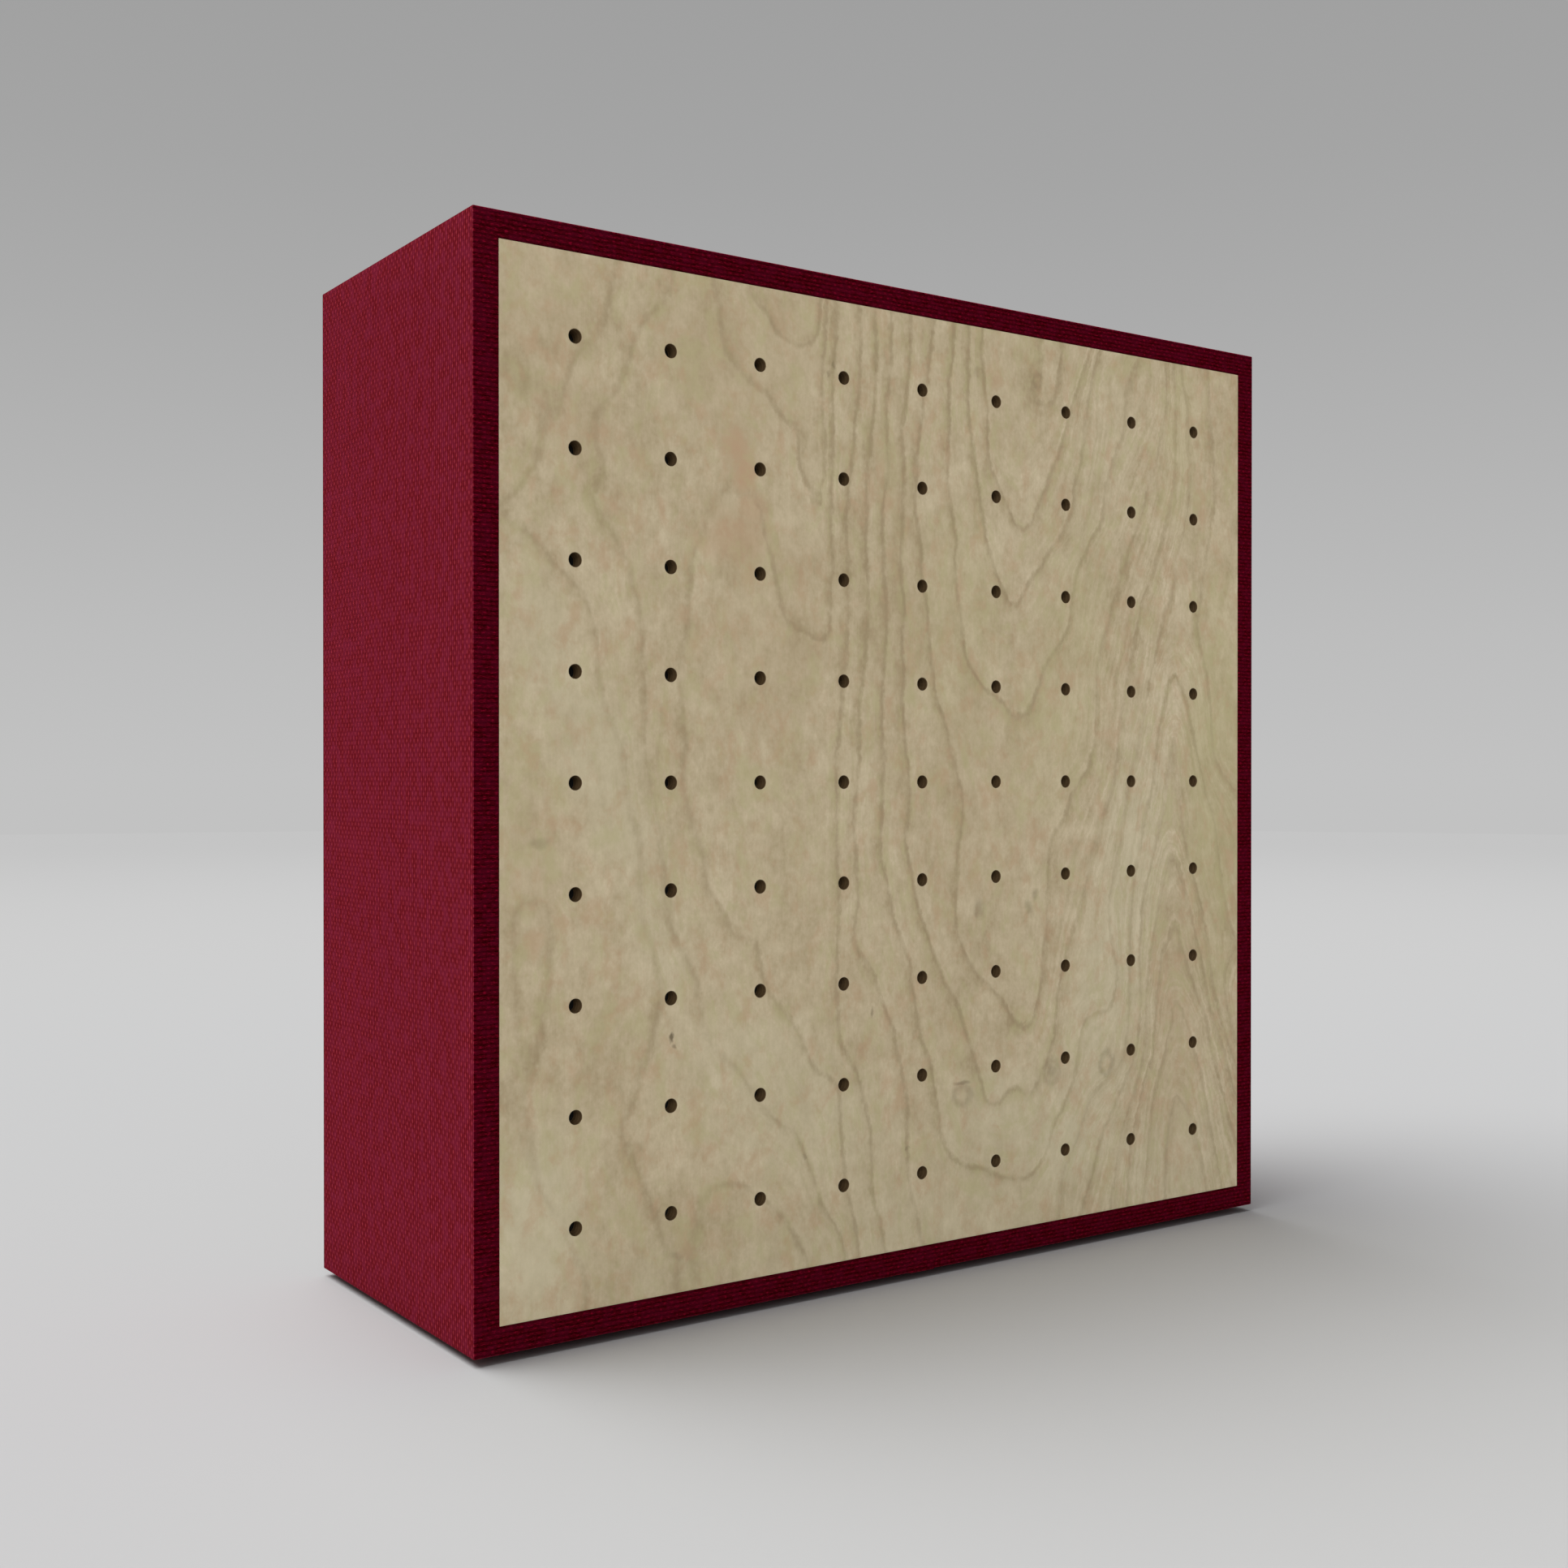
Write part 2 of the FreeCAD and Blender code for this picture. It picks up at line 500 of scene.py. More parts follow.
@dataclass(frozen=True)
class BirchFinish:
    """Matt lacquered birch plywood: a plain-sliced face, and plies in every cut edge, darkened with
    painted shade for the drilled holes.
    """

    pale: Colour = (0.640, 0.540, 0.368)
    deep: Colour = (0.385, 0.300, 0.172)
    line: Colour = (0.290, 0.215, 0.120)
    spot: Colour = (0.130, 0.094, 0.050)
    # light is the pale patches' tint, near the foot partly painted light.
    light: Colour = (0.575, 0.520, 0.350)
    brown: Colour = (0.470, 0.366, 0.226)
    green: Colour = (0.470, 0.425, 0.222)
    rose: Colour = (0.500, 0.335, 0.205)
    # The cut edges' colours are the plies darkened as painted shade inside the drilled holes.
    cut_pale_painted_shade: Colour = (0.180, 0.116, 0.054)
    cut_dark_painted_shade: Colour = (0.098, 0.060, 0.028)
    front_mm: float = -107.5
    foot_mm: float = 4.5
    thickness_mm: float = 10.0
    plies: int = 7
    rim_mm: tuple[float, float] = (0.10, 0.30)
    band_from_mm: float = 30.0
    knot_shift: tuple[Grain, Grain] = (Grain(4.5, 4.5, weight=5.0), Grain(5.5, 5.5, weight=5.0))
    blot_shift: tuple[Grain, Grain] = (
        Grain(11, 13, 4.0, 0.65, 17.0),
        Grain(13, 11, 4.0, 0.65, 19.0),
    )
    band_shift: tuple[Grain, Grain] = (
        Grain(30, 44, 3.0, 0.6, 44.0),
        Grain(44, 36, 3.0, 0.6, 60.0),
    )
    jag: Grain = Grain(2.8, 4.6, 3.0, 0.62, 4.6)
    sway: Grain = Grain(15, 26, 2.0, 0.5, 5.0)
    vigour: Grain = Grain(12, 20, 4.0, 0.65)
    streak: Grain = Grain(5.0, 60, 4.0, 0.62)
    fine_streak: Grain = Grain(1.6, 34, 3.0, 0.6)
    mottle: Grain = Grain(6.4, 8.4, 3.0, 0.62)
    uneven: Grain = Grain(26, 38, 4.0, 0.65, 1.2)
    greenish: Grain = Grain(13, 20, 4.0, 0.62, distortion=0.4)
    rosy: Grain = Grain(11, 16, 4.0, 0.62, distortion=0.4)
    layers: tuple[Grain, ...] = (
        Grain(0.8, 16, 4.0, 0.62, 0.26),
        Grain(75, 100, 3.0, 0.5, 0.50),
        Grain(18, 26, 3.0, 0.6, 1.00),
        Grain(2.2, 2.8, 2.0, 0.6, 0.42),
    )
    pores: Grain = Grain(0.45, 9, 3.0, 0.6)
    sheen: Grain = Grain(30, 60, weight=0.16)
    line_reach_mm: float = 2.6
    shade_reach_mm: float = 9.0
    least_slope: float = 0.012

    def patches(self, shader: Shader, place: bpy.types.NodeSocket) -> dict[Tone, Value]:
        """How much of each tone its patches give to a place of the face.

        Args:
            shader: the material's shader.
            place: the place in millimetres.

        Returns:
            For each tone a value from 0 to 1.
        """
        x, _, z = shader.parts(place)
        z = z - self.foot_mm
        knot_place, blot_place, band_place = [
            (x + aside.waver(shader, place), z + upward.waver(shader, place))
            for aside, upward in (self.knot_shift, self.blot_shift, self.band_shift)
        ]
        found: dict[Tone, Value] = {}
        for patch in PATCHES:
            if patch.tone in (Tone.SPOT, Tone.RING):
                px, pz = knot_place
            elif patch.half_height < self.band_from_mm:
                px, pz = blot_place
            else:
                px, pz = band_place
            off = patch.off_centre(px, pz)
            if patch.tone is Tone.RING:
                shown = off.hump(0.85, 0.55) * patch.strength
            else:
                shown = (1 - off.rise(0.25, 1.2)) * patch.strength
            known = found.get(patch.tone)
            found[patch.tone] = shown if known is None else shown.at_least(known)
        return found

    def face_colour(self, shader: Shader, place: bpy.types.NodeSocket) -> bpy.types.NodeSocket:
        """The figure of the face: growth lines, streaks along them, tints, mottle and knots.

        Args:
            shader: the material's shader.
            place: the place in millimetres.

        Returns:
            The colour of the face.
        """
        x, _, z = shader.parts(place)

        # How far a place is from the nearest growth line, in millimetres, and how the line shows.
        # The lines are boldest in the flame right of the middle, and softer on the left.
        slope = shader.attribute(FIGURE_SLOPE).at_least(self.least_slope)
        stray = self.jag.waver(shader, place) + self.sway.waver(shader, place)
        level = shader.attribute(FIGURE) + stray * slope
        off = (level - level.nearest()) / slope
        vigour = self.vigour.noise(shader, place).rise(0.30, 0.64)
        bold = (x.hump(10.0, 170.0) * 0.35 + 0.62) * (vigour * 0.76 + 0.33)
        keen = x.rise(-190.0, -60.0) * 0.36 + 0.64
        core = 1 - abs(off * keen).rise(0.1, self.line_reach_mm)
        core = core * bold * (keen * 0.5 + 0.5)
        shade = off.rise(-self.line_reach_mm, 0.5) * (1 - off.rise(0.6, self.shade_reach_mm))

        # How deep the wood is in tone: streaks, strongest on the right, and even layers.
        along = shader.vector(level * 34.0, 0.0, z * 0.75)
        streak = self.streak.waver(shader, along)
        streaky = x.rise(70.0, 160.0)
        mottle = self.mottle.waver(shader, place)
        depth = (
            streak * (streaky + 0.35)
            + self.fine_streak.waver(shader, along) * (streaky * 0.45 + 0.10)
            + mottle * 0.92
            + shade * bold * 0.35
            + 0.488
        )
        for layer in self.layers:
            depth = depth + layer.waver(shader, place)
        tones = self.patches(shader, place)
        # The pale patches lighten the wood, near the foot partly as painted light.
        depth = depth - tones[Tone.PALE] * 0.12 + tones[Tone.BROWN] * 0.08
        colour = shader.tint(depth, self.pale, self.deep)

        # The tints of the patches, the pale one near the foot partly painted light, then a green
        # and a rose cast in small blots, then the lines.
        uneven = self.uneven.waver(shader, place) + 1
        for tone, most, tint in (
            (Tone.PALE, 0.42, self.light),
            (Tone.BROWN, 0.50, self.brown),
            (Tone.GREEN, 0.46, self.green),
            (Tone.ROSE, 0.55, self.rose),
        ):
            colour = shader.tint(tones[tone] * uneven * most, colour, tint)
        greenish = self.greenish.noise(shader, place) + streak * 0.6
        colour = shader.blend(greenish.rise(0.46, 0.72) * 0.50, colour, self.green)
        turned = shader.stretch(place, (1.0, 1.0, -1.0))
        rosy = self.rosy.noise(shader, turned) + mottle * 0.35
        colour = shader.blend(rosy.rise(0.47, 0.74) * 0.52, colour, self.rose)
        colour = shader.blend(core * 0.43, colour, self.line)
        knots = tones[Tone.SPOT].at_least(tones[Tone.RING])
        return shader.blend(knots * 0.85, colour, self.spot)

    def cut_colour_painted_shade(self, shader: Shader, place: bpy.types.NodeSocket) -> bpy.types.NodeSocket:
        """The plies in the cut edges: every second one dark, with thin glue lines between, all
        darkened as painted shade for the hole walls.

        Args:
            shader: the material's shader.
            place: the place in millimetres.

        Returns:
            The colour of the cut edges.
        """
        ply = (shader.parts(place)[1] - self.front_mm) * (self.plies / self.thickness_mm)
        layer = ply.floor()
        cross = (layer * math.pi).cosine() * 0.5 + 0.5
        glue = (ply - layer).hump(0.5, 0.5).rise(0.0, 0.25)
        grain = shader.noise(place, (0.5, 1.2, 0.5), 3.0, 0.6)
        tone = (cross * 0.45 + grain * 0.6) * glue
        return shader.blend(tone.at_most(1.0), self.cut_dark_painted_shade, self.cut_pale_painted_shade)

    def build(self) -> bpy.types.Material:
        """Makes the material.

        Returns:
            The material.
        """
        material, shader = new_material("birch_plywood")
        place = shader.millimetres()
        inside = (shader.parts(place)[1] - self.front_mm).rise(*self.rim_mm)
        # The cut edges, the hole walls among them, take the plies darkened as painted shade.
        face, cut = self.face_colour(shader, place), self.cut_colour_painted_shade(shader, place)
        shader.surface(
            {
                "Base Color": shader.blend(inside, face, cut),
                "Roughness": self.sheen.noise(shader, place) * self.sheen.weight + 0.50,
                "Specular IOR Level": 0.25,
                "Normal": shader.relief(self.pores.noise(shader, place), 0.05, 0.5),
            }
        )
        return material


class ClothLie(Enum):
    """Where a stretch of the cloth lies on the box, which picks its copy of the cloth: painted
    light on the sides, painted shade on the borders turned over the edges.
    """

    OVER_THE_SIDES = "cover_cloth"
    TURNED_OVER_THE_EDGE = "cover_cloth_turned_edge"


@dataclass(frozen=True)
class WeaveFinish:
    """Wine red speaker cloth in a coarse plain weave, ribs along its first direction.

    The order says how evenly the crossings show: 1 where the light rakes over them, 0 where only
    loose strokes of yarn catch it. The cloth is made twice: a lighter copy with painted light for
    the sides, and a darker copy with painted shade for the borders over the edges.
    """

    lie: ClothLie
    valley_painted_shade: Colour
    # valley is painted shade in the weave's hollows, crown a painted highlight on the yarns' tops.
    yarn: Colour
    crown: Colour
    bloom: Colour
    order: float
    rib_mm: float = 2.54
    pick_mm: float = 2.67

    def build(self) -> bpy.types.Material:
        """Makes the material; the weave follows the cloth's own flat coordinates.

        Returns:
            The material.
        """
        material, shader = new_material(self.lie.value)
        flat = shader.node("ShaderNodeUVMap", {"uv_map": UV_WEAVE}).outputs[0]
        flat = shader.stretch(flat, (1 / MM,) * 3)
        noise = shader.noise

        # Ribs and picks that wander a little: where they lie high, and where a yarn goes over.
        loose = 1.0 - self.order
        wander = (noise(flat, (13, 6, 9), 3.0) - 0.5) * (0.7 + loose)
        drift = (noise(flat, (7, 16, 9), 2.0) - 0.5) * (0.8 + loose * 1.4)
        u, v, _ = shader.parts(flat)
        along = (u + drift) / self.pick_mm
        across = (v + wander) / self.rib_mm
        rib = across.floor()
        pick = along.floor()
        beat = ((along - 0.5 + rib) * math.pi).cosine() * 0.5 + 0.5
        crest = ((across - rib) * math.pi).sine()
        cross_crest = ((along - pick) * math.pi).sine()

        # What varies from yarn to yarn and along a yarn.
        own = shader.chance(rib, ((along + rib) * 0.5).floor())
        stroke = noise(flat, (2.1, 0.50, 9), 2.0, 0.55).rise(0.42, 0.68)
        fuzz = noise(flat, (0.95, 0.42, 9), 2.0, 0.6)
        slub = noise(flat, (46, 3.4, 9), 2.0, 0.5)
        cloud = noise(flat, (60, 60, 9), 2.0, 0.5)
        lift = (
            crest * 0.38
            + beat * crest * (0.12 + self.order * 0.40)
            + cross_crest * (0.04 + self.order * 0.14)
            + stroke * (0.10 + loose * 0.36)
            + (own - 0.5) * 0.05
            + (fuzz - 0.5) * 0.72
            + (slub - 0.5) * (0.03 + loose * 0.04)
            + (cloud - 0.5) * 0.08
            - self.order * 0.12
        )
        # The yarns' own tone, with painted shade in the hollows and a painted highlight on the
        # crowns.
        low = shader.blend(lift.rise(0.02, 0.52), self.valley_painted_shade, self.yarn)
        colour = shader.blend(lift.rise(0.52, 1.02), low, self.crown)
        tinge = noise(flat, (9.0, 8.0, 9), 5.0, 0.7) + (own - 0.5) * 0.20
        colour = shader.blend(tinge.rise(0.38, 0.66) * 0.42, colour, self.bloom)
        relief = crest * 0.5 + beat * 0.2 + stroke * 0.3 + (fuzz - 0.5) * 0.3
        shader.surface(
            {
                "Base Color": colour,
                "Roughness": 0.92,
                "Specular IOR Level": 0.0,
                "Normal": shader.relief(relief, 0.55, 0.6),
            }
        )
        return material


@dataclass(frozen=True)
class SpeckledFinish:
    """A plain stuff whose colour wavers in blots, with a fine grain and relief."""

    name: str
    pale: Colour
    dark: Colour
    blot_mm: Triple
    grain_mm: Triple
    roughness: float
    relief_mm: float
    specular: float = 0.3
    blotting: float = 0.9

    def build(self) -> bpy.types.Material:
        """Makes the material.

        Returns:
            The material.
        """
        material, shader = new_material(self.name)
        place = shader.millimetres()
        blot = shader.noise(place, self.blot_mm, 3.0, 0.55)
        grain = shader.noise(place, self.grain_mm, 4.0, 0.65, 0.4)
        mixing = (blot - 0.5) * self.blotting + (grain - 0.5) * 1.5 + 0.5
        shader.surface(
            {
                "Base Color": shader.tint(mixing, self.dark, self.pale),
                "Roughness": (grain - 0.5) * 0.3 + self.roughness,
                "Specular IOR Level": self.specular,
                "Normal": shader.relief(grain, self.relief_mm, 0.7),
            }
        )
        return material


@dataclass(frozen=True)
class ZincFinish:
    """Bright zinc-plated steel of the small screws, a little dulled."""

    pale: Colour = (0.62, 0.60, 0.56)
    dull: Colour = (0.40, 0.385, 0.36)

    def build(self) -> bpy.types.Material:
        """Makes the material.

        Returns:
            The material.
        """
        material, shader = new_material("zinc_steel")
        place = shader.millimetres()
        cloud = shader.noise(place, (1.6, 1.6, 1.6), 3.0, 0.6)
        colour = shader.blend(cloud.rise(0.35, 0.68), self.pale, self.dull)
        shader.surface(
            {
                "Base Color": colour,
                "Metallic": 1.0,
                "Roughness": cloud * 0.25 + 0.24,
                "Normal": shader.relief(cloud, 0.02, 0.5),
            }
        )
        return material


BOARD_FINISH = SpeckledFinish(
    "carcass_board",
    pale=(0.42, 0.32, 0.215),
    dark=(0.30, 0.215, 0.135),
    blot_mm=(40, 40, 40),
    grain_mm=(1.2, 1.2, 1.2),
    roughness=0.85,
    relief_mm=0.05,
)
HARDBOARD_FINISH = SpeckledFinish(
    "hardboard",
    pale=(0.215, 0.130, 0.072),
    dark=(0.120, 0.066, 0.034),
    blot_mm=(70, 70, 70),
    grain_mm=(1.5, 1.5, 0.8),
    roughness=0.46,
    relief_mm=0.06,
    specular=0.42,
    blotting=0.28,
)
FLEECE_FINISH = SpeckledFinish(
    "black_fleece",
    pale=(0.020, 0.019, 0.018),
    dark=(0.004, 0.004, 0.004),
    blot_mm=(5, 5, 5),
    grain_mm=(0.35, 0.35, 0.35),
    roughness=0.95,
    relief_mm=0.10,
    specular=0.1,
)
WOOL_FINISH = SpeckledFinish(
    "mineral_wool",
    pale=(0.42, 0.37, 0.22),
    dark=(0.20, 0.17, 0.09),
    blot_mm=(24, 24, 24),
    grain_mm=(0.8, 3.0, 0.8),
    roughness=0.97,
    relief_mm=0.5,
    specular=0.05,
)
RUBBER_FINISH = SpeckledFinish(
    "foot_rubber",
    pale=(0.026, 0.026, 0.027),
    dark=(0.012, 0.012, 0.013),
    blot_mm=(9, 9, 9),
    grain_mm=(0.5, 0.5, 0.5),
    roughness=0.72,
    relief_mm=0.05,
    specular=0.35,
)


# Meshes


class MeshMaker:
    """Points and faces of one piece, in metres; points that coincide become one."""

    def __init__(self) -> None:
        """Starts empty."""
        self.points: list[tuple[float, float, float]] = []
        self.faces: list[tuple[int, ...]] = []
        self.slots: list[int] = []
        self.corners: list[tuple[tuple[float, float], ...]] = []
        self._known: dict[tuple[int, int, int], int] = {}

    def point(self, x: float, y: float, z: float) -> int:
        """Finds the point at a place, or adds it.

        Args:
            x: its place across.
            y: its depth.
            z: its height.

        Returns:
            The point's number.
        """
        key = (round(x * POINT_GRID), round(y * POINT_GRID), round(z * POINT_GRID))
        if key not in self._known:
            self._known[key] = len(self.points)
            self.points.append((x, y, z))
        return self._known[key]

    def loop(self, places: Iterable[Sequence[float]]) -> list[int]:
        """The numbers of several points in order."""
        return [self.point(*place) for place in places]

    def face(
        self, indices: Sequence[int], slot: int = 0, corners: Sequence[tuple[float, float]] = ()
    ) -> None:
        """Adds a face, unless its points fall together.

        Args:
            indices: its points in order.
            slot: its material's place among the piece's materials.
            corners: the flat coordinates of its corners, if it has them.
        """
        unique = tuple(dict.fromkeys(indices))
        if len(unique) < 3:
            return
        self.faces.append(unique)
        self.slots.append(slot)
        if corners:
            kept = dict(zip(indices, corners))
            self.corners.append(tuple(kept[index] for index in unique))
        else:
            self.corners.append(())

    def skin(self, first: Sequence[int], second: Sequence[int], slot: int = 0) -> None:
        """Joins two closed loops of as many points by a band of faces.

        Args:
            first: the points of one loop in order.
            second: the points of the other.
            slot: the place of the faces' material among the piece's materials.
        """
        for a in range(len(first)):
            b = (a + 1) % len(first)
            self.face((first[a], first[b], second[b], second[a]), slot)

    def skins(self, loops: Sequence[Sequence[int]]) -> None:
        """Joins each closed loop to the next one."""
        for first, second in zip(loops, loops[1:]):
            self.skin(first, second)

    def build(
        self, name: str, materials: Sequence[bpy.types.Material], crease: float = 30.0
    ) -> bpy.types.Object:
        """Makes the object.

        Args:
            name: the piece's name.
            materials: its materials, in the order of the slots.
            crease: edges that turn by more degrees stay sharp.

        Returns:
            The object, in the scene.
        """
        mesh = bpy.data.meshes.new(name)
        mesh.from_pydata(self.points, [], self.faces)
        for material in materials:
            mesh.materials.append(material)
        mesh.polygons.foreach_set("material_index", self.slots)
        if any(self.corners):
            layer = mesh.uv_layers.new(name=UV_WEAVE)
            flat = [number for face in self.corners for corner in face for number in corner]
            layer.uv.foreach_set("vector", flat)
        work = bmesh.new()
        work.from_mesh(mesh)
        bmesh.ops.recalc_face_normals(work, faces=work.faces)
        work.to_mesh(mesh)
        work.free()
        mesh.shade_smooth()
        mesh.set_sharp_from_angle(angle=math.radians(crease))
        mesh.update()
        return add_to_scene(name, mesh)


def add_to_scene(name: str, data: bpy.types.ID) -> bpy.types.Object:
    """A new object of the scene, with the mesh, lamp or camera that it shows.

    Args:
        name: its name.
        data: its mesh, lamp or camera.

    Returns:
        The object.
    """
    item = bpy.data.objects.new(name, data)
    bpy.context.scene.collection.objects.link(item)
    return item


def circle(steps: int) -> list[tuple[float, float]]:
    """Points at even steps round a circle of radius 1."""
    angles = [2 * math.pi * step / steps for step in range(steps)]
    return [(math.cos(angle), math.sin(angle)) for angle in angles]


def rounded_square(
    half: float, radius: float, turns: int, stations: Sequence[Sequence[float]]
) -> list[tuple[float, float]]:
    """A square with rounded corners, counter-clockwise from the foot of its right side.

    Args:
        half: half its side.
        radius: the radius of its corners.
        turns: how many steps each corner has.
        stations: the places of the points along the right, top, left and bottom side, as shares
            of its length.

    Returns:
        The points as pairs.
    """
    inner = half - radius
    ends = [
        ((half, -inner), (half, inner)),
        ((inner, half), (-inner, half)),
        ((-half, inner), (-half, -inner)),
        ((-inner, -half), (inner, -half)),
    ]
    centres = [(inner, inner), (-inner, inner), (-inner, -inner), (inner, -inner)]
    points = []
    for side, ((x0, z0), (x1, z1)) in enumerate(ends):
        for share in stations[side]:
            points.append((x0 + (x1 - x0) * share, z0 + (z1 - z0) * share))
        for step in range(1, turns):
            angle = math.pi / 2 * (side + step / turns)
            cx, cz = centres[side]
            points.append((cx + radius * math.cos(angle), cz + radius * math.sin(angle)))
    return points


# The figure of the veneer


@dataclass(frozen=True)
class VeneerFigure:
    """The growth lines of the face, as a smooth height whose whole levels are the lines.

    A line is its level and its points, across from the middle and up from the box's foot, in
    millimetres. The levels rise from the middle of the flame outwards.
    """

    lines: tuple[tuple[int, tuple[int, ...]], ...]
    between: tuple[tuple[int, int, float], ...]
    step_mm: float = 9.0
    softness_mm: float = 6.0
    give: float = 0.5
    places_at_once: int = 1500

    def smooth(self, points: np.ndarray) -> np.ndarray:
        """Points at even steps along a smooth line through the given ones.

        Args:
            points: the given points, one in each row.

        Returns:
            The points of the smooth line.
        """
        ends = np.vstack([2 * points[0] - points[1], points, 2 * points[-1] - points[-2]])
        made = []
        for index in range(1, len(ends) - 2):
            a, b, c, d = ends[index - 1 : index + 3]
            steps = max(1, round(float(np.linalg.norm(c - b)) / self.step_mm))
            for t in np.arange(steps) / steps:
                bend = (2 * a - 5 * b + 4 * c - d) * t**2 + (3 * b - a - 3 * c + d) * t**3
                made.append(0.5 * (2 * b + (c - a) * t + bend))
        made.append(points[-1])
        return np.array(made)

    def known(self) -> tuple[np.ndarray, np.ndarray]:
        """The places where the height is known: along the lines, and some between them.

        Returns:
            The places in millimetres, one in each row, and the height at each.
        """
        places, levels = [], []
        for level, numbers in self.lines:
            line = self.smooth(np.array(numbers, float).reshape(-1, 2))
            places.append(line)
            levels.append(np.full(len(line), float(level)))
        for across, up, level in self.between:
            places.append(np.array([[across, up]], float))
            levels.append(np.array([level]))
        return np.vstack(places), np.concatenate(levels)

    def measure(self, wanted: np.ndarray) -> tuple[np.ndarray, np.ndarray]:
        """The height of the figure and its slope.

        Args:
            wanted: places in millimetres, one in each row.

        Returns:
            The height at each place, and how many levels it rises in a millimetre.
        """
        places, levels = self.known()
        count = len(places)

        def reach(first: np.ndarray) -> tuple[np.ndarray, np.ndarray]:
            """Offsets and softened distances from some places to the known ones."""
            offsets = first[:, None, :] - places[None, :, :]
            return offsets, np.sqrt((offsets**2).sum(-1) + self.softness_mm**2)

        system = np.ones((count + 1, count + 1))
        system[:count, :count] = -reach(places)[1] + np.eye(count) * self.give
        system[count, count] = 0.0
        weights = np.linalg.solve(system, np.append(levels, 0.0))
        heights, slopes = [], []
        for part in np.array_split(wanted, max(1, len(wanted) // self.places_at_once)):
            offsets, distances = reach(part)
            heights.append(weights[count] - distances @ weights[:count])
            pull = -(offsets / distances[:, :, None] * weights[:count, None]).sum(1)
            slopes.append(np.linalg.norm(pull, axis=1))
        return np.concatenate(heights), np.concatenate(slopes)


